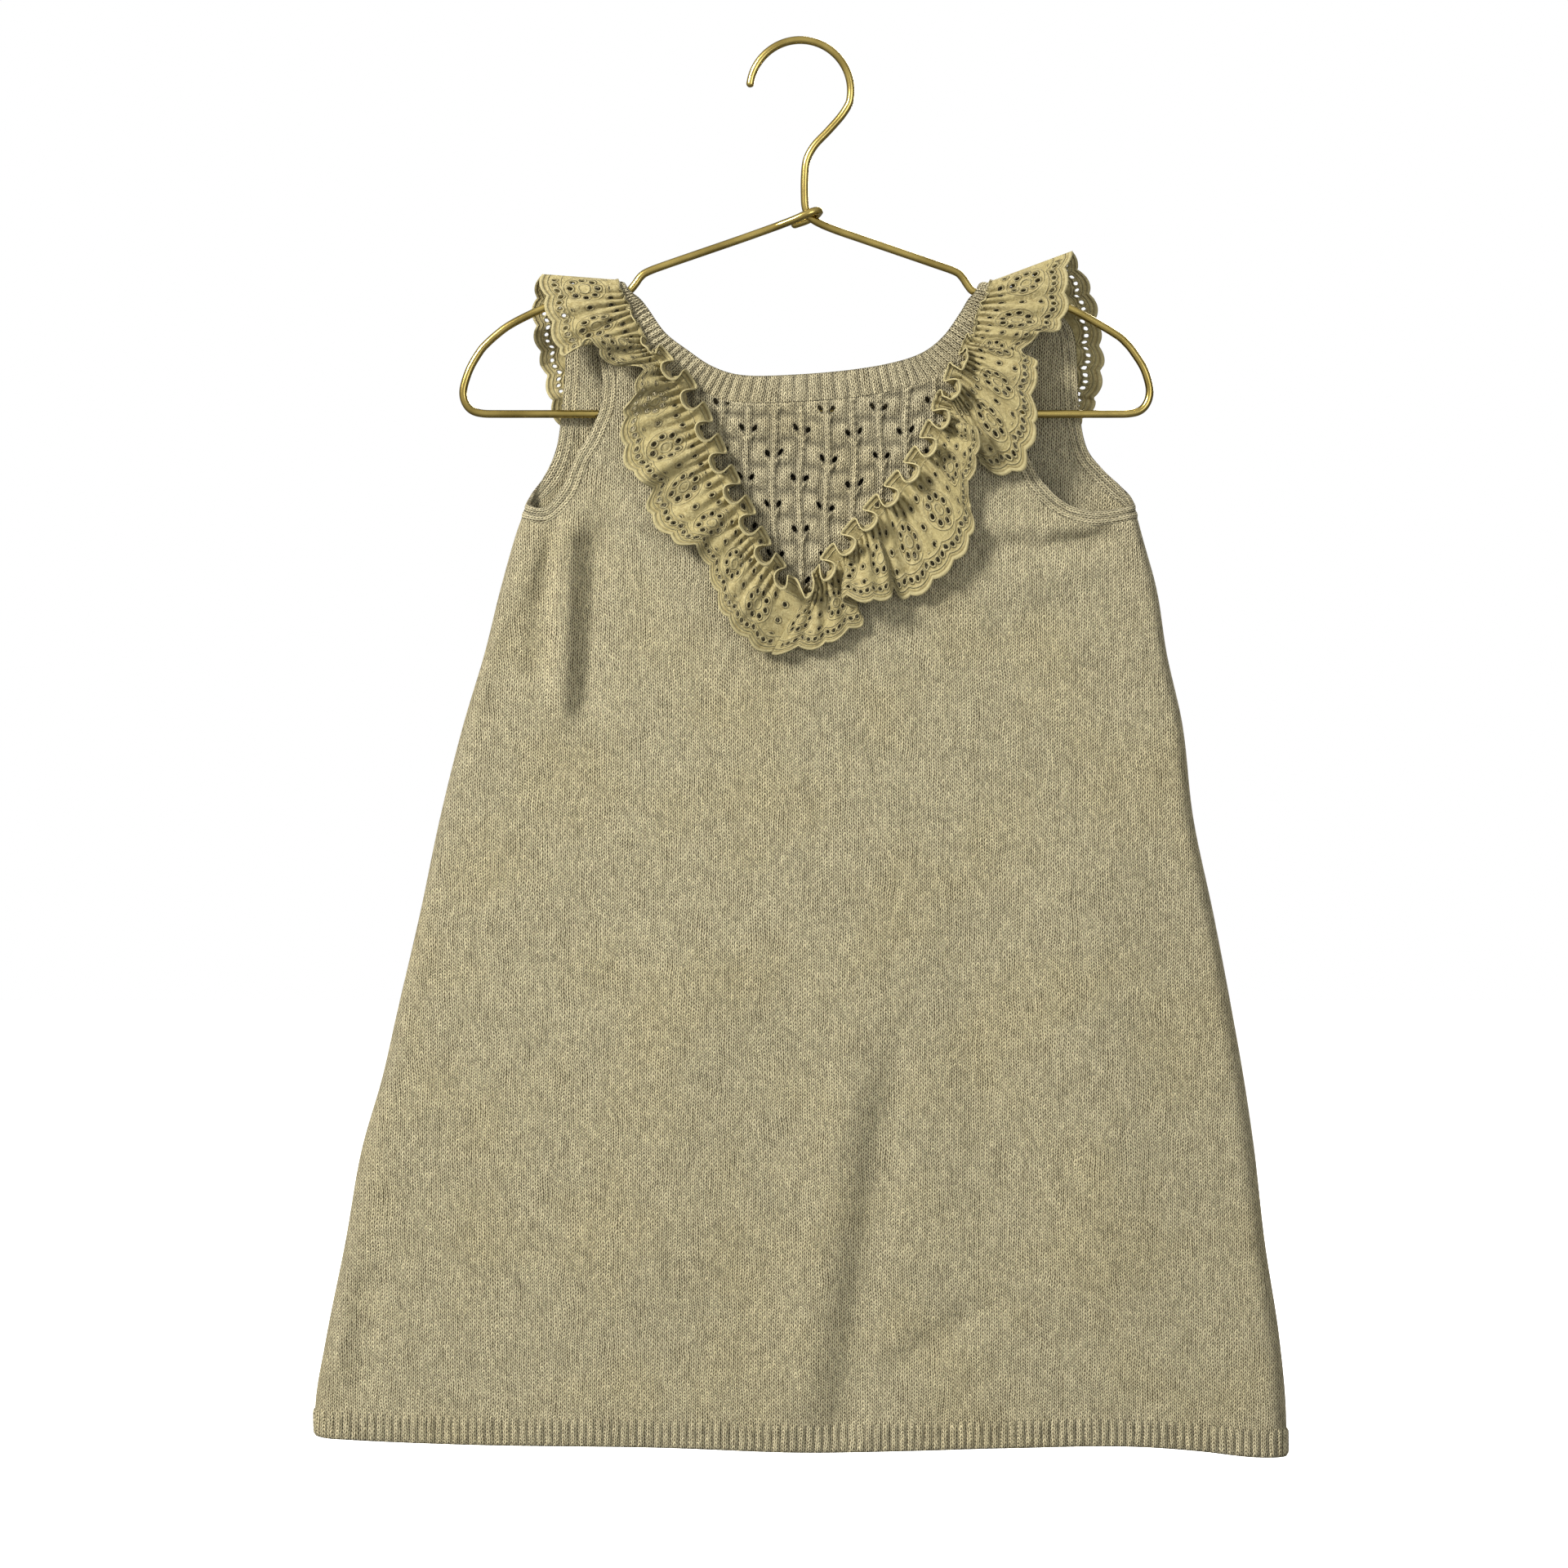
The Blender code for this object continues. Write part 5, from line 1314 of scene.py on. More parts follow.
@dataclass(frozen=True)
class Yoke:
    """V-shaped insert of lace knit: puffs between raised stems, and pairs of small holes in half drop."""

    form: DressForm
    thickness: float = 1.3
    rows: int = 150
    columns: int = 190
    inset: float = 0.5
    leaf_column: float = 11.7
    leaf_repeat: float = 22.0
    leaf_rise: float = 2.3
    hole_apart: float = 2.75  # from the stem to the middle of a hole
    hole_up: float = 5.5  # from a leaf's middle up to its holes
    hole_wide: float = 0.95  # half the hole's width
    hole_long: float = 1.6
    hole_lean: float = 28.0  # degrees from the stem
    bead: float = 3.2
    branch_lean: float = 0.62
    branch_from: float = -6.5  # from a pair of holes down to where its branch leaves the stem
    edge_cells: int = 4  # cells along the edges where the lace is plain

    def relief(self, across: Array, up: Array) -> Array:
        """Height of the lace: puffs between the stems, a beaded cord up each stem, and branches.

        A puff is the product of one wave across and one up. A branch climbs outward from the stem below each
        pair of holes and ends beyond them.

        Args:
            across: Places across the lace.
            up: Their heights.

        Returns:
            Millimetres.
        """
        leaf = np.sin(math.pi * across / self.leaf_column) ** 2
        leaf = leaf * (0.5 + 0.5 * np.cos(4 * math.pi * (up - self.hole_up) / self.leaf_repeat)) ** 0.6
        cord = np.cos(math.pi * across / self.leaf_column) ** 14
        beads = 0.62 + 0.12 * np.cos(2 * math.pi * up / self.bead)
        x, z = self.from_pair(across, up)
        aside = (x - self.branch_lean * (z - self.branch_from)) / 0.75
        branch = np.exp(-(aside**2)) * ease((z + 7.5) / 2) * ease((3.5 - z) / 3)
        return self.leaf_rise * np.maximum(np.maximum(0.85 * leaf, beads * cord), 0.62 * branch)

    def from_pair(self, across: Array, up: Array) -> tuple[Array, Array]:
        """How far a place is aside of the nearest stem and above its nearest pair of holes."""
        stem = np.round(across / self.leaf_column)
        z = up - self.hole_up - (stem % 2) * self.leaf_repeat / 2
        return np.abs(across - stem * self.leaf_column), from_nearest(z, self.leaf_repeat)

    def hole_distance(self, across: Array, up: Array) -> Array:
        """How far a place is from the nearest lace hole's outline.

        Holes stand in pairs beside each stem, half a repeat apart in neighbouring columns. Each is an oval
        that leans away from the stem; the distance is that to the oval with its long side shrunk.

        Args:
            across: Places across the lace.
            up: Their heights.

        Returns:
            Millimetres, negative inside a hole.
        """
        x, z = self.from_pair(across, up)
        x = x - self.hole_apart
        lean = math.radians(self.hole_lean)
        wide = x * math.cos(lean) - z * math.sin(lean)
        long = x * math.sin(lean) + z * math.cos(lean)
        ring = np.hypot(wide / self.hole_wide, long / self.hole_long)
        return (ring - 1) * self.hole_wide

    def places(self) -> Array:
        """The yoke's flat places, ruled between the two sides of the V and bent along the neck band.

        Returns:
            Rows by columns by two.
        """
        form = self.form
        part = np.linspace(0, 1, self.rows + 1)
        stops = part * form.yoke_rows
        sides = []
        for flank, inset in ((Flank.LEFT, self.inset), (Flank.RIGHT, -self.inset)):
            side = form.yoke_side(flank)[:form.yoke_rows + 1]
            rows = [np.interp(stops, np.arange(form.yoke_rows + 1), side[:, k]) for k in range(2)]
            sides.append(np.stack([rows[0] + inset * (1 + 2 * part**40), rows[1]], axis=-1))
        grid = between(sides[0], sides[1], np.linspace(0, 1, self.columns + 1))
        points = np.linspace(YOKE_FIRST + 2, YOKE_LAST + 2, 4 * self.columns + 1)
        neck = along(form.neck_points(Line.SEAM), points)
        part = part[:, None]
        level = neck[0] + (neck[-1] - neck[0]) * np.linspace(0, 1, self.columns + 1)[:, None]
        sag = np.interp(level[:, 0], neck[:, 0], neck[:, 1]) - level[:, 1]
        grid[..., 1] += sag * part**1.2 + SEAM_GAP * (1 - 2.5 * part)
        return grid

    def make(self, finish: bpy.types.Material) -> None:
        """Build the yoke. Its pattern wanders a little, by sines of the place, as knitting does.

        Args:
            finish: The piece's material.
        """
        grid = self.places()
        x, z = grid[..., 0], grid[..., 1]
        across = x + 0.7 * np.sin(z / 8.5 + x / 19)
        up = z + 1.5 * np.sin(x / 13.5) + 0.9 * np.sin(x / 5.1 + z / 24)
        row, cell = (np.minimum(steps, steps[::-1]) for steps in map(np.arange, x.shape))
        fade = ease(row / self.edge_cells)[:, None] * ease(cell / self.edge_cells)
        keep = np.where(fade < 1, 1.0, self.hole_distance(across, up))
        relief = self.relief(across, up)
        outer, under = lay_on_form(self.form, Face.FRONT, grid, self.thickness, relief * fade)
        # The finish reads relief and hole_gap to paint shade in the lace's valleys and beside its holes.
        marks = {"hole_gap": np.clip(keep, -1, 4), "relief": relief / self.leaf_rise}
        piece = Sheet(outer, under, grid, keep=keep, marks=marks).make("lace_yoke", finish)
        Declared("front_yoke", "lace_knit").dress(piece, flat_area(grid))


@dataclass(frozen=True)
class Ribs:
    """Ribbed bands: the hem, the neck and the armholes."""

    form: DressForm
    thickness: float = 1.4
    hem_middle: float = -616.0
    hem_ribs: int = 119
    hem_rise: float = 1.0
    neck_ribs: int = 67
    neck_rise: float = 0.9
    neck_crown: int = 3  # ribs over the hanger's arm
    band_rise: float = 0.5
    band_cells: int = 16
    rib_cells: int = 8

    def rib_rise(self, cells: int) -> Array:
        """Rounded ribs one high, with narrow grooves: a power of a raised cosine along the band."""
        return (0.5 - 0.5 * np.cos(2 * math.pi * np.arange(cells + 1) / self.rib_cells)) ** 0.6

    def knit(
        self, name: str, face: Face, places: tuple, ribs: Array, rise: float, finish: bpy.types.Material
    ) -> bpy.types.Object:
        """Lay a band on the dress with its ribs raised, and make it.

        Args:
            name: The piece's name.
            face: The front or the back.
            places: Its places on the dress, and those on its own cloth.
            ribs: Each point's share of the ribs' height, which the finish reads too, to paint shade in the
                grooves.
            rise: The ribs' height.
            finish: Its material.

        Returns:
            The new object.
        """
        grid, flat = places
        outer, under = lay_on_form(self.form, face, grid, self.thickness, rise * ribs)
        share = np.broadcast_to(ribs, grid.shape[:2])
        marks = {"relief": share, "hole_gap": np.full(share.shape, 4.0)}
        return Sheet(outer, under, flat, marks=marks).make(name, finish)

    def hem(self, face: Face, finish: bpy.types.Material) -> None:
        """Ribbed hem band along the dress's lower edge, from side seam to side seam.

        Args:
            face: The front or the back.
            finish: The piece's material.
        """
        cells = self.hem_ribs * self.rib_cells
        ends = [self.form.side_place(self.hem_middle, flank)[0] for flank in Flank]
        across = np.linspace(*ends, cells + 1)
        lower = np.stack([across, self.form.hem_height(across)], axis=-1)
        grid = lower + np.linspace(0, HEM_DEPTH, 11)[:, None, None] * [0, 1]
        for flank, end in zip(Flank, (0, -1)):
            grid[:, end, 0] = self.form.side_place(grid[:, end, 1], flank)[:, 0]
        ribs = self.rib_rise(cells) * np.array([0, 0.8] + [1.0] * 8 + [0.5])[:, None]
        side = face.name.lower()
        flat = grid + BACK_CLOTH if face is Face.BACK else grid
        piece = self.knit(f"hem_band_{side}", face, (grid, flat), ribs, self.hem_rise, finish)
        Declared(f"hem_rib_{side}", f"hem_{side}").dress(piece, flat_area(grid))

    def neck(self, face: Face, finish: bpy.types.Material) -> None:
        """Ribbed neck band from shoulder to shoulder, its ribs running from the edge to the seam.

        Args:
            face: The front or the back.
            finish: The piece's material.
        """
        cells = self.neck_ribs * self.rib_cells
        crown = self.neck_crown * self.rib_cells
        last = len(NECK) + 3
        stops = np.concatenate([
            np.linspace(0, 1, crown + 1),
            np.linspace(1, last - 1, cells - 2 * crown + 1)[1:],
            np.linspace(last - 1, last, crown + 1)[1:],
        ])
        edge = along(self.form.neck_points(Line.EDGE), stops)
        seam = along(self.form.neck_points(Line.SEAM), stops)
        width = np.linalg.norm(seam - edge, axis=-1)[:, None]
        parts = np.linspace(0, 1, 10)
        grid = between(seam + (edge - seam) * (SEAM_GAP / width), edge, parts).swapaxes(0, 1)
        self.form.settle_on_arm(grid[:, crown::-1].swapaxes(0, 1))
        self.form.settle_on_arm(grid[:, -crown - 1:].swapaxes(0, 1))
        ribs = self.rib_rise(cells) * np.array([0.5] + [1.0] * 7 + [0.8, 0])[:, None]
        flat = np.stack(np.broadcast_arrays(lengths(seam), parts[:, None] * width.mean()), axis=-1)
        side = face.name.lower()
        piece = self.knit(f"neck_band_{side}", face, (grid, flat), ribs, self.neck_rise, finish)
        Declared(f"neck_rib_{side}", f"neck_{side}").dress(piece, flat_area(flat))

    def armhole(self, face: Face, flank: Flank, finish: bpy.types.Material) -> bpy.types.Object:
        """Narrow band round half an armhole, with two raised wales.

        Args:
            face: The front or the back.
            flank: The side.
            finish: The piece's material.

        Returns:
            The band.
        """
        edge = self.form.armhole_line(face, flank, Line.EDGE)
        seam = self.form.armhole_line(face, flank, Line.SEAM)
        width = np.linalg.norm(seam - edge, axis=-1)[:, None]
        parts = np.linspace(0, 1, self.band_cells + 1)
        grid = between(edge, seam + (edge - seam) * (SEAM_GAP / width), parts)
        self.form.settle_on_arm(grid[-self.form.crown_rows - 1:])
        ribs = (0.5 - 0.5 * np.cos(4 * math.pi * parts)) ** 0.7
        flat = np.stack(np.broadcast_arrays(parts * width.mean(), lengths(seam)[:, None]), axis=-1)
        end = f"{face.name.lower()}_{flank.value}"
        piece = self.knit(f"armhole_rib_{end}", face, (grid, flat), ribs, self.band_rise, finish)
        return Declared(f"armhole_band_{end}", f"armhole_band_{end}_knit").join(piece)


@dataclass(frozen=True)
class Eyelets:
    """The worked holes of the eyelet cloth, in its own flat places (along, down from the seam)."""

    first: float = 9.0  # from the strip's end to its first flower ring
    motif_apart: float = 25.0
    motif_radius: float = 5.3
    petals: int = 8
    petal_hole: float = 1.1
    singles: tuple = (  # places of the single eyelets, from a ring's middle
        (12.5, -8.0), (12.5, 0.0), (12.5, 7.5), (7.5, 9.5), (17.5, 9.5), (0.0, -10.5), (6.5, -9.0),
        (18.5, -9.0),
    )
    single_hole: float = 1.0
    loop_apart: float = 11.0  # between the heading's eyelets
    loop_up: float = 0.52 * HEADING
    loop_hole: float = 0.9
    row_in: float = 5.8  # from the free edge to the row of small holes
    row_apart: float = 3.3
    row_hole: float = 0.95
    scallop: float = 12.5
    scallop_depth: float = 1.1
    plain: float = 3.0  # distance that stands for no hole near
    edge_band: float = 9.5  # along the free edge, without flowers
    seam_band: float = 3.0  # below the seam, without holes
    loops_from: float = 1.0  # above the seam
    end_band: float = 3.0  # at the strip's ends, without holes

    def edge_wave(self, cloth: Array) -> Array:
        """How far the scalloped edge stands below its mean: a wave whose crests are rounder than its dips."""
        swing = np.abs(np.sin(math.pi * cloth / self.scallop))
        return self.scallop_depth * (2 * swing**0.8 - 1.2)

    def from_flower(self, cloth: Array, aside: float = 0.0) -> Array:
        """How far along the cloth a place is from what stands aside of the nearest flower ring's middle."""
        return from_nearest(cloth - self.first - aside, self.motif_apart)

    def ring_gap(self, cloth: Array, below: Array) -> Array:
        """Distance from the nearest hole of the flower rings, which repeat along the cloth at one depth.

        The ring's angle is rounded to the nearest petal's, and the distance taken to the hole there.

        Args:
            cloth: How far along the strip each point is.
            below: Its depth below the rings' middles.

        Returns:
            Millimetres, negative inside a hole.
        """
        x = self.from_flower(cloth)
        step = 2 * math.pi / self.petals
        angle = np.round(np.arctan2(below, x) / step) * step
        aside = x - self.motif_radius * np.cos(angle)
        return np.hypot(aside, below - self.motif_radius * np.sin(angle)) - self.petal_hole

    def single_gap(self, cloth: Array, below: Array) -> Array:
        """Distance from the nearest of the single eyelets between the flower rings."""
        gaps = [np.hypot(self.from_flower(cloth, x), below - z) for x, z in self.singles]
        return np.min(gaps, axis=0) - self.single_hole

    def keep(self, cloth: Array, down: Array, below: Array, edge: Array) -> Array:
        """Distance from every hole: rings and single eyelets inside, a row along the edge, loops above.

        Args:
            cloth: How far along the strip each point is.
            down: Its depth below the seam, negative in the heading.
            below: Its depth below the flower rings' middles.
            edge: Its distance from the free edge.

        Returns:
            Millimetres from the nearest hole's outline, negative inside it.
        """
        holes = np.minimum(self.ring_gap(cloth, below), self.single_gap(cloth, below))
        holes = np.where(edge > self.edge_band, holes, self.plain)
        row = np.hypot(from_nearest(cloth, self.row_apart), edge - self.row_in) - self.row_hole
        loop = np.hypot(from_nearest(cloth, self.loop_apart), down + self.loop_up) - self.loop_hole
        above = np.where(down < -self.loops_from, loop, self.plain)
        holes = np.where(down > self.seam_band, np.minimum(holes, row), above)
        ends = np.minimum(cloth, cloth[:, -1:] - cloth)
        return np.where(ends < self.end_band, self.plain, holes)


@dataclass(frozen=True)
class Flounce:
    """One gathered strip of eyelet cotton, with the small heading frill above its seam."""

    form: DressForm
    face: Face
    flank: Flank
    heading_waves: int
    pitch: float = 0.62
    regular: int = 0  # even waves along a back strip
    wave_out: float = 3.0
    wave_sway: float = 2.6
    clearance: float = 1.9  # from the panel's outside to the seam
    thickness: float = 0.55
    pleat: float = 5.6  # cloth in one small pleat at the seam
    pleat_depth: float = 11.0  # how far below the seam the small pleats reach
    broad: float = 2.2  # times as wide: the pleats below them
    most_spare: float = 2.2  # the most cloth that pleats take up, to one of the row
    belly: float = 1.8  # how far the strip bows out between its seam and its edge
    heading_least: float = 1.5  # the frill's height at the shoulder
    heading_lean: float = 52.0  # degrees outward, and how far it swings about that
    heading_swing: float = 44.0
    heading_sway: float = 2.5
    rings_up: float = 1.5  # of the flower rings above the strip's middle
    eyelets: Eyelets = Eyelets()

    @property
    def top_first(self) -> bool:
        """Whether the strip starts on the shoulder."""
        return self.flank is Flank.LEFT

    def rule(self, stops: Array) -> tuple[Array, Array, Array, Array]:
        """The strip's seam, free edge and heading at stops along its table.

        Args:
            stops: Counted in rows of the table.

        Returns:
            Shares of the seam's length, then seam, edge and heading points in millimetres.
        """
        shares_x_z_out = along(TURNS[self.face, self.flank], stops)
        shares = np.clip(shares_x_z_out[:, 0], 0, 1)
        points = list(FLOUNCE_SEAMS[self.face, self.flank])
        top = FLOUNCE_TOPS[self.flank]
        if self.top_first:
            points = self.form.over_arm([], top)[::-1] + points
        else:
            points = self.form.over_arm(points, top)
        fine = along(points, np.linspace(0, len(points) - 1, 400))
        reach = lengths(fine)
        places = np.stack([np.interp(shares, reach / reach[-1], fine[:, k]) for k in range(2)], axis=-1)
        seam = self.form.outside(self.face, places) + self.form.normal(self.face, places) * self.clearance
        sign = self.face.value
        edge = np.stack([shares_x_z_out[:, 1], sign * shares_x_z_out[:, 3], shares_x_z_out[:, 2]], axis=-1)
        if self.regular:
            fade = ease(shares / 0.12) * ease((1 - shares) / 0.12)
            step = unit(np.gradient(edge, axis=0))
            swing = 2 * math.pi * self.regular * shares
            edge[:, 1] += sign * self.wave_out * np.sin(swing) * fade
            edge += step * (self.wave_sway * np.sin(2 * swing) * fade)[:, None]
        return shares, places, seam, edge

    def heading(self, seam: Array, places: Array, shares: Array, parts: Array) -> Array:
        """Rows of the small frill above the seam: it leans in and out as it goes along.

        Args:
            seam: The seam's points.
            places: Its flat places.
            shares: Shares of the seam's length.
            parts: How far up the frill each row is, from 1 at its free edge to 0 at the seam.

        Returns:
            Rows by columns by three.
        """
        step = unit(np.gradient(places, axis=0))
        from_top = shares if self.top_first else 1 - shares
        inward = np.stack([-step[:, 1], step[:, 0]], axis=-1)
        upright = ease((from_top - 0.85) / 0.15)[:, None]
        inward = unit(inward * (1 - upright) + np.array([0.0, 1.0]) * upright)
        height = self.heading_least + (HEADING - self.heading_least) * ease((from_top - 0.12) / 0.2)
        swing = 2 * math.pi * self.heading_waves * shares
        lean = math.radians(self.heading_lean) + math.radians(self.heading_swing) * np.sin(swing)
        lean = lean * ease(from_top / 0.1)
        sway = -self.heading_sway * np.sin(2 * swing) * ease(from_top / 0.2) * ease((1 - from_top) / 0.1)
        height = height * parts[:, None]
        sway = sway * parts[:, None]
        curl = lean * (0.55 + 0.45 * parts[:, None])
        move_x = height * np.cos(curl) * inward[:, 0] + sway * step[:, 0]
        move_z = height * np.cos(curl) * inward[:, 1] + sway * step[:, 1]
        move_y = self.face.value * height * np.sin(curl)
        return seam + np.stack([move_x, move_y, move_z], axis=-1)

    def gathers(self, grid: Array, cloth: Array, down: Array, shares: Array) -> Array:
        """How far the small pleats stand out: enough for the cloth that a shorter row has to take up.

        A sine wave takes up cloth by the root of one and half its steepness squared. The steepness follows
        from how much longer the cloth is than the row; fine pleats at the seam merge into wider ones below.

        Args:
            grid: The ruled strip.
            cloth: Length along the cut strip at each column.
            down: Depth below the seam at each point.
            shares: Shares of the seam's length.

        Returns:
            Millimetres along the normal, rows by columns.
        """
        evener = np.ones(25) / 25
        row = np.pad(np.linalg.norm(np.gradient(grid, axis=1), axis=-1), ((0, 0), (12, 12)), mode="edge")
        row = np.apply_along_axis(np.convolve, 1, row, evener, "valid")
        spare = np.clip(np.gradient(cloth) / row, 1.0, self.most_spare)
        steep = np.sqrt(2 * (spare**2 - 1)) / (2 * math.pi * spare)
        broad = self.broad * self.pleat
        fine = self.pleat * np.sin(2 * math.pi * cloth / self.pleat + 1.7 * np.sin(cloth / 11.0))
        wide = broad * np.sin(2 * math.pi * cloth / broad + 1.3 * np.sin(cloth / 17.0))
        near = np.exp(-((down / self.pleat_depth) ** 2))
        ends = ease(np.minimum(shares, 1 - shares) / 0.05)
        return steep * (fine * near + 0.7 * wide * (1 - near)) * ends

    def make(self, finish: bpy.types.Material) -> None:
        """Build the strip: ruled from seam to edge, pleated near the seam, with its eyelets cut out.

        Args:
            finish: The piece's material.
        """
        trial = np.linspace(0, len(TURNS[self.face, self.flank]) - 1, 2400)
        reach = lengths(self.rule(trial)[3])
        cloth = np.linspace(0, reach[-1], int(reach[-1] / self.pitch) + 1)
        shares, places, seam, edge = self.rule(np.interp(cloth, reach, trial))
        depth = np.linalg.norm(edge - seam, axis=-1)
        typical = float(np.median(depth))
        head_parts = np.linspace(1, 0, int(HEADING / self.pitch) + 1)[:-1]
        stretch = 1 + self.eyelets.edge_wave(cloth) / depth
        parts = np.linspace(0, 1, int(typical / self.pitch) + 1)[:, None] * stretch
        bow = np.sin(math.pi * np.clip(parts, 0, 1)) * ease(np.minimum(shares, 1 - shares) / 0.1)
        fall = seam + (edge - seam) * parts[..., None]
        fall[..., 1] += self.face.value * self.belly * bow
        head = self.heading(seam, places, shares, head_parts)
        head_down = np.broadcast_to(-HEADING * head_parts[:, None], head.shape[:2])
        grid = np.concatenate([head, fall])
        down = np.concatenate([head_down, parts * typical])
        grid = grid + grid_normal(grid, 6) * self.gathers(grid, cloth, down, shares)[..., None]
        normal = grid_normal(grid, 1)
        shells = [grid + normal * half for half in (self.thickness / 2, -self.thickness / 2)]
        for points in shells:
            points[..., 1] = self.face.value * np.maximum(self.face.value * points[..., 1], SEAM_GAP / 2)
        flat = np.stack([np.broadcast_to(cloth, down.shape), down], axis=-1)
        edge_gap = np.where(down >= 0, typical * stretch - down, down + HEADING)
        below = down - (0.5 * typical - self.rings_up)
        keep = self.eyelets.keep(flat[..., 0], down, below, edge_gap)
        flower = np.hypot(self.eyelets.from_flower(cloth), below)
        marks = {
            "hole_gap": np.clip(keep, -1, 4),
            "edge_gap": np.clip(edge_gap, 0, 20),
            "flower": np.clip(flower, 0, 12),
        }
        side = self.face.name.lower()
        end = f"{side}_{self.flank.value}"
        piece = Sheet(*shells, flat, keep=keep, marks=marks).make(f"eyelet_flounce_{end}", finish)
        declared = Declared(f"flounce_{end}", f"eyelet_{end}", "gathered")
        declared.dress(piece, flat_area(flat))


@dataclass(frozen=True)
class Hanger:
    """One bent wire: hook, arms with strap notches, round ends, bar, and the tail wrapped round the stem."""

    radius: float = 1.75
    hook_radius: float = 22.3
    hook_tip: float = 172.0  # degrees round the hook, from its side
    hook_end: float = -6.0
    sides: int = 24
    step: float = 0.9
    wrap: float = 52.0  # length of the tail, where the circle's frame is turned upright
    wrap_turn: float = 14.0  # length along which it turns
    cap_rows: int = 5

    def path(self) -> Array:
        """The wire's middle: a circle's arc for the hook, then the smooth curve through the tables.

        Returns:
            Points in millimetres, evenly spaced.
        """
        turn = np.radians(np.linspace(self.hook_tip, self.hook_end, 24))
        middle = self.radius - self.hook_radius
        up = middle + self.hook_radius * np.sin(turn)
        arc = np.stack([self.hook_radius * np.cos(turn), 0 * turn, up], axis=-1)
        flat = [(p.x, 0.0, p.z) for p in HOOK_BEND + RIGHT_ARM + BAR + LEFT_ARM[::-1]]
        points = np.concatenate([arc, flat, WIRE_WRAP])
        fine = along(points, np.linspace(0, len(points) - 1, 6000))
        reach = lengths(fine)
        even = np.linspace(0, reach[-1], int(reach[-1] / self.step))
        return np.stack([np.interp(even, reach, fine[:, k]) for k in range(3)], axis=-1)

    def make(self, finish: bpy.types.Material) -> None:
        """Carry a circle along the path, rounding both ends by shrinking it as a quarter circle does.

        Args:
            finish: The piece's material.
        """
        path = self.path()
        tangent = unit(np.gradient(path, axis=0))
        length = np.arange(len(path)) * self.step
        winding = ease((length - (length[-1] - self.wrap)) / self.wrap_turn)[:, None]
        guide = np.array([0.0, 1.0, 0.0]) * (1 - winding) + np.array([0.0, 0.0, 1.0]) * winding
        aside = unit(guide - (guide * tangent).sum(-1, keepdims=True) * tangent)
        above = np.cross(tangent, aside)
        cap = np.linspace(0.04, 1, self.cap_rows + 1)[:-1]
        shrink = np.sqrt(1 - (1 - cap) ** 2)
        start = path[0] - tangent[0] * (self.radius * (1 - cap))[:, None]
        end = path[-1] + tangent[-1] * (self.radius * (1 - cap[::-1]))[:, None]
        centre = np.concatenate([start, path, end])
        size = np.concatenate([shrink, np.ones(len(path)), shrink[::-1]]) * self.radius
        aside, above = (np.pad(way, ((self.cap_rows,) * 2, (0, 0)), mode="edge") for way in (aside, above))
        angle = np.linspace(0, 2 * math.pi, self.sides + 1)[:-1]
        ring = aside[:, None] * np.cos(angle)[:, None] + above[:, None] * np.sin(angle)[:, None]
        points = centre[:, None] + ring * size[:, None, None]
        rows = len(points)
        index = np.arange(rows * self.sides).reshape(rows, self.sides)
        ahead = np.roll(index, -1, axis=1)
        faces = np.stack([index[:-1], ahead[:-1], ahead[1:], index[1:]], axis=-1).reshape(-1, 4).tolist()
        faces += [index[0, ::-1].tolist(), index[-1].tolist()]
        flat = np.stack([
            np.repeat(np.arange(rows) * self.step, self.sides),
            np.tile(angle * self.radius, rows),
        ], axis=-1)
        piece = make_piece("hanger_wire", points.reshape(-1, 3), faces, flat, finish)
        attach(piece, "root")
        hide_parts("hanger_frame", "hanger_hook")
        log.info("%s: %.0f mm of wire", piece.name, length[-1])


@dataclass(frozen=True)
class Lamp:
    """One soft area light."""

    name: str
    place: tuple
    size: float
    power: float
    colour: tuple = (1.0, 1.0, 1.0)


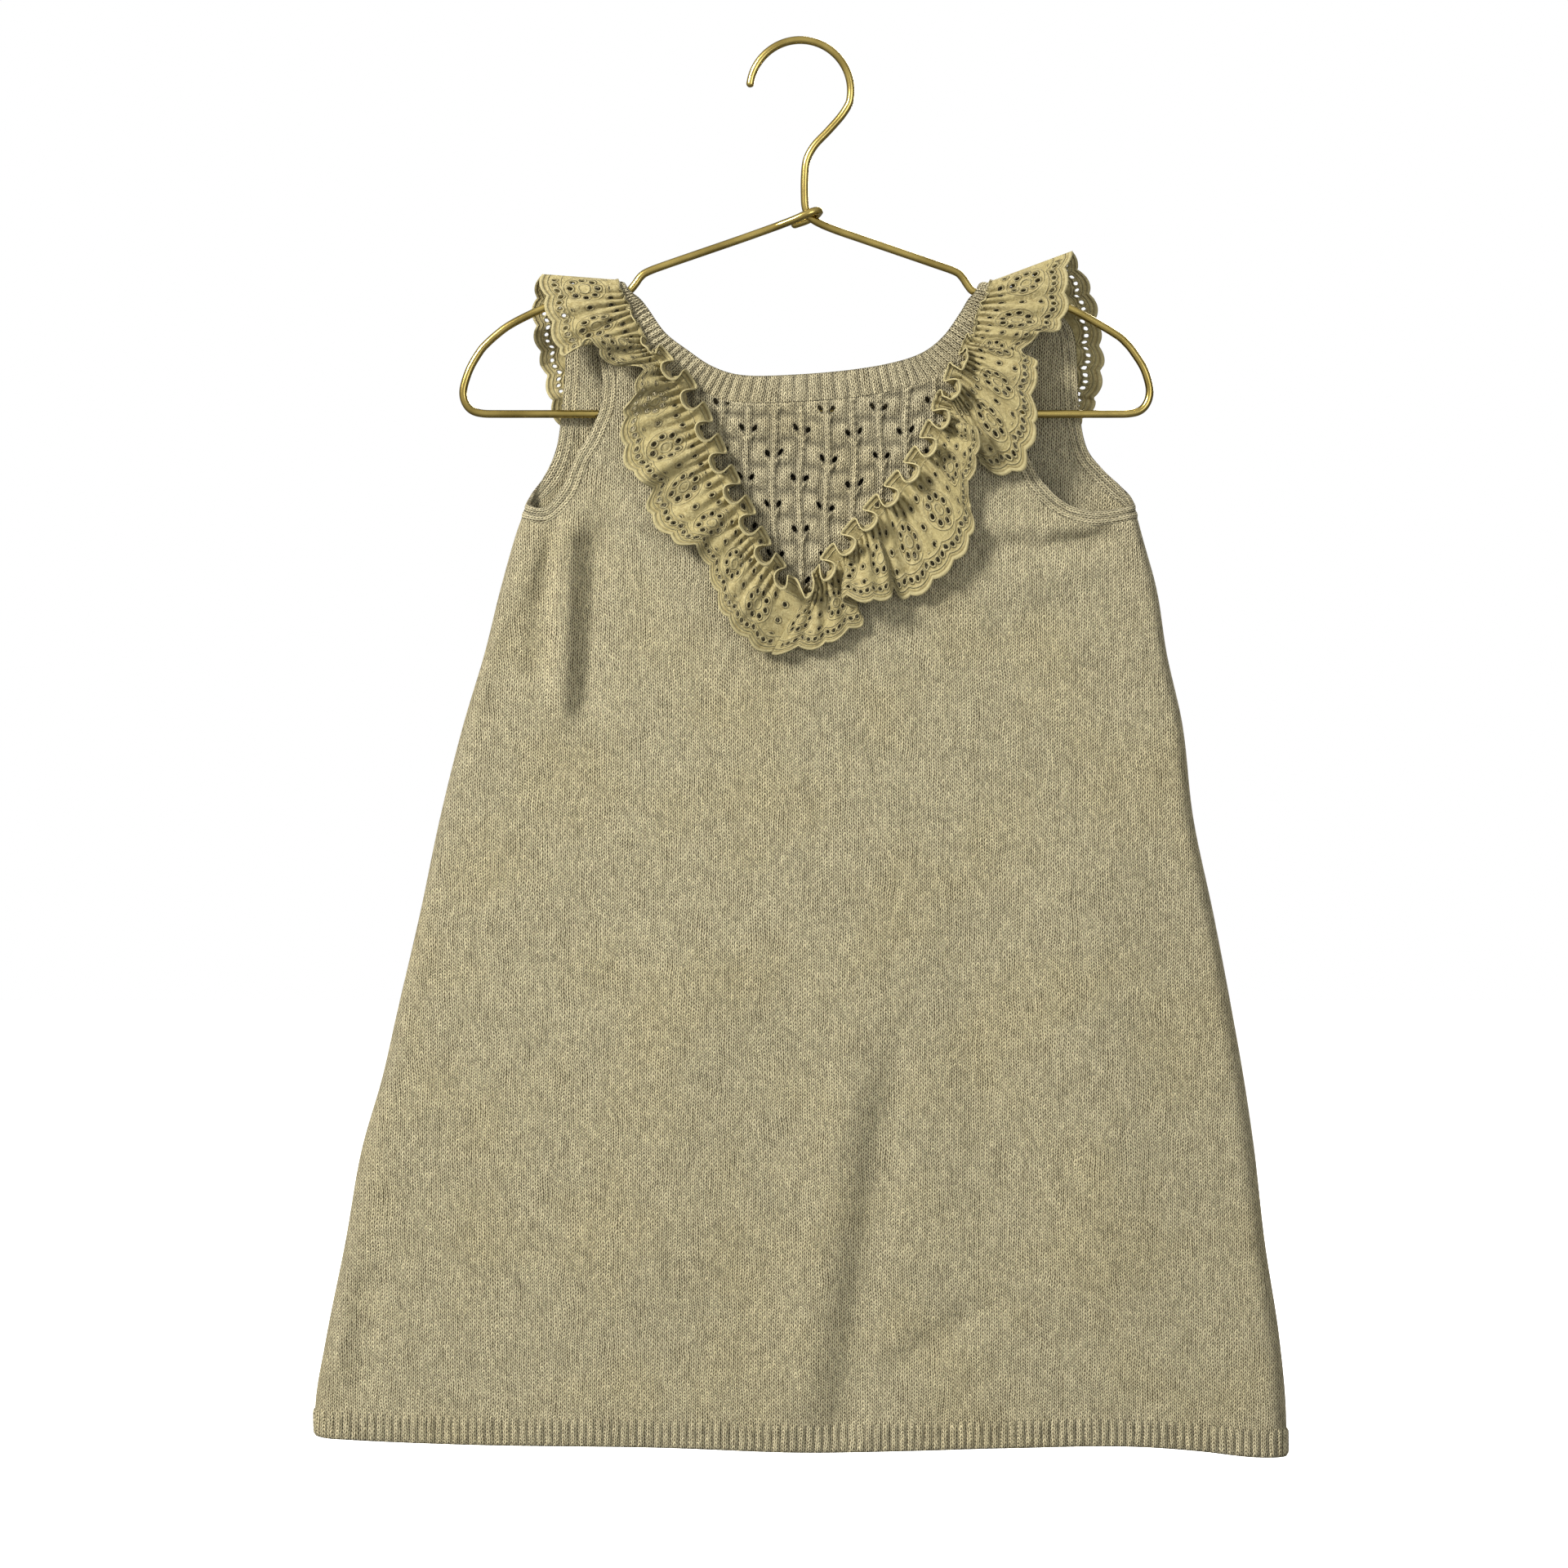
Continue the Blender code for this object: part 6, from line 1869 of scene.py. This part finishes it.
@dataclass(frozen=True)
class Studio:
    """White studio, in metres: a pale floor, soft lights and a camera level with the dress's middle."""

    target: tuple = (-0.0072, 0.0, -0.3262)
    distance: float = 1.92
    lens: float = 100.0
    sensor: float = 36.0
    floor: float = -0.72
    floor_reach: float = 6.0
    sky: tuple = (1.0, 0.965, 0.88)
    sky_from: tuple = (-0.35, -0.75, 0.56)  # where the light from all round is strongest
    sky_range: tuple = (-0.3, 0.8)  # of the direction's likeness to that, and the strengths there
    sky_strength: tuple = (0.18, 0.74)
    lamps: tuple = (
        Lamp("key", (-1.6, -1.35, 0.95), 0.6, 92.0, (1.0, 0.965, 0.89)),
        Lamp("fill", (1.3, -2.3, -0.1), 1.3, 16.0, (0.95, 0.98, 1.0)),
        Lamp("back", (0.8, 1.9, 0.7), 1.4, 72.0),
    )

    def camera(self) -> None:
        """Set the camera in front of the dress, looking straight at it."""
        data = bpy.data.cameras.new("front")
        data.lens = self.lens
        data.sensor_width = self.sensor
        camera = link("front", data)
        camera.location = (self.target[0], -self.distance, self.target[2])
        camera.rotation_euler = (math.pi / 2, 0, 0)
        bpy.context.scene.camera = camera

    def light(self) -> None:
        """Hang the lamps, each facing the dress."""
        for lamp in self.lamps:
            data = bpy.data.lights.new(lamp.name, "AREA")
            data.size = lamp.size
            data.energy = lamp.power
            data.color = lamp.colour
            light = link(lamp.name, data)
            light.location = lamp.place
            x, y, z = np.array(self.target) - np.array(lamp.place)
            tilt = math.pi / 2 + math.atan2(z, math.hypot(x, y))
            light.rotation_euler = (tilt, 0, math.atan2(y, x) - math.pi / 2)

    def surround(self) -> None:
        """Light from all round, stronger from the front's upper left, before a background seen as white."""
        world = bpy.data.worlds.new("studio")
        world.use_nodes = True
        nodes = Nodes(world.node_tree)
        lit = nodes.tree.nodes["Background"]
        ways = {0: nodes.node("ShaderNodeTexCoord").outputs["Generated"], 1: self.sky_from}
        facing = nodes.node("ShaderNodeVectorMath", ways, operation="DOT_PRODUCT").outputs["Value"]
        limits = dict(enumerate((facing, *self.sky_range, *self.sky_strength)))
        strength = nodes.node("ShaderNodeMapRange", limits).outputs[0]
        nodes.fill(lit, {"Color": self.sky, "Strength": strength})
        white = nodes.node("ShaderNodeBackground", {"Color": (1.0, 1.0, 1.0), "Strength": 1.0})
        seen = nodes.node("ShaderNodeLightPath").outputs["Is Camera Ray"]
        mix = nodes.node("ShaderNodeMixShader", {0: seen, 1: lit.outputs[0], 2: white.outputs[0]})
        nodes.put(nodes.tree.nodes["World Output"].inputs[0], mix.outputs[0])
        bpy.context.scene.world = world

    def lay_floor(self) -> None:
        """A pale floor well below the dress, which casts no light on it."""
        s = Shader("pale_floor")
        grain = s.noise(s.node("ShaderNodeTexCoord").outputs["Object"], 30.0)
        s.fill(s.surface, {
            "Base Color": (0.9, 0.9, 0.9),
            "Roughness": grain * 0.1 + 0.8,
            "Emission Color": (1.0, 1.0, 1.0),
            "Emission Strength": 0.75,
        })
        data = bpy.data.meshes.new("floor")
        corners = np.array([(-1, -1), (1, -1), (1, 1), (-1, 1)]) * self.floor_reach
        data.from_pydata([(x, y, self.floor) for x, y in corners], [], [(0, 1, 2, 3)])
        data.materials.append(s.material)
        floor = link("floor", data)
        floor.visible_diffuse = False
        floor.visible_glossy = False

    def make(self) -> None:
        """Set up the camera, the lights and what stands round the dress."""
        self.camera()
        self.light()
        self.surround()
        self.lay_floor()
        scene = bpy.context.scene
        scene.view_settings.view_transform = "Standard"
        scene.view_settings.look = "None"
        log.info("studio: camera %.2f m away", self.distance)


def main() -> None:
    """Build the hanger and the dress in order."""
    logging.basicConfig(level=logging.INFO, format="%(message)s")
    form = DressForm()
    Studio().make()
    Hanger().make(BrassFinish().make("brass_wire"))
    knit = KnitFinish()
    # The ribbed bands and the lace have painted shade in their relief's valleys.
    ribbed = KnitFinish(paint_relief_shade=True)
    body = Body(form)
    ribs = Ribs(form)
    for face, panel in ((Face.FRONT, body.front), (Face.BACK, body.back)):
        side = face.name.lower()
        cuffs = {flank: ribbed.make(f"armhole_{side}_{flank.value}_knit") for flank in Flank}
        bands = tuple(ribs.armhole(face, flank, cuff) for flank, cuff in cuffs.items())
        panel(knit.make(f"{side}_knit"), bands)
        ribs.neck(face, ribbed.make(f"neck_{side}_knit"))
        ribs.hem(face, ribbed.make(f"hem_{side}_knit"))
    Yoke(form).make(KnitFinish(wale=1.9, course=1.6, relief=1.8, paint_relief_shade=True).make("lace_knit"))
    eyelet = EyeletFinish()
    Flounce(form, Face.FRONT, Flank.LEFT, 11).make(eyelet.make("eyelet_front_left"))
    Flounce(form, Face.FRONT, Flank.RIGHT, 12).make(eyelet.make("eyelet_front_right"))
    for flank in Flank:
        flounce = Flounce(form, Face.BACK, flank, 6, pitch=0.9, regular=6)
        flounce.make(eyelet.make(f"eyelet_back_{flank.value}"))


if __name__ == "__main__":
    main()
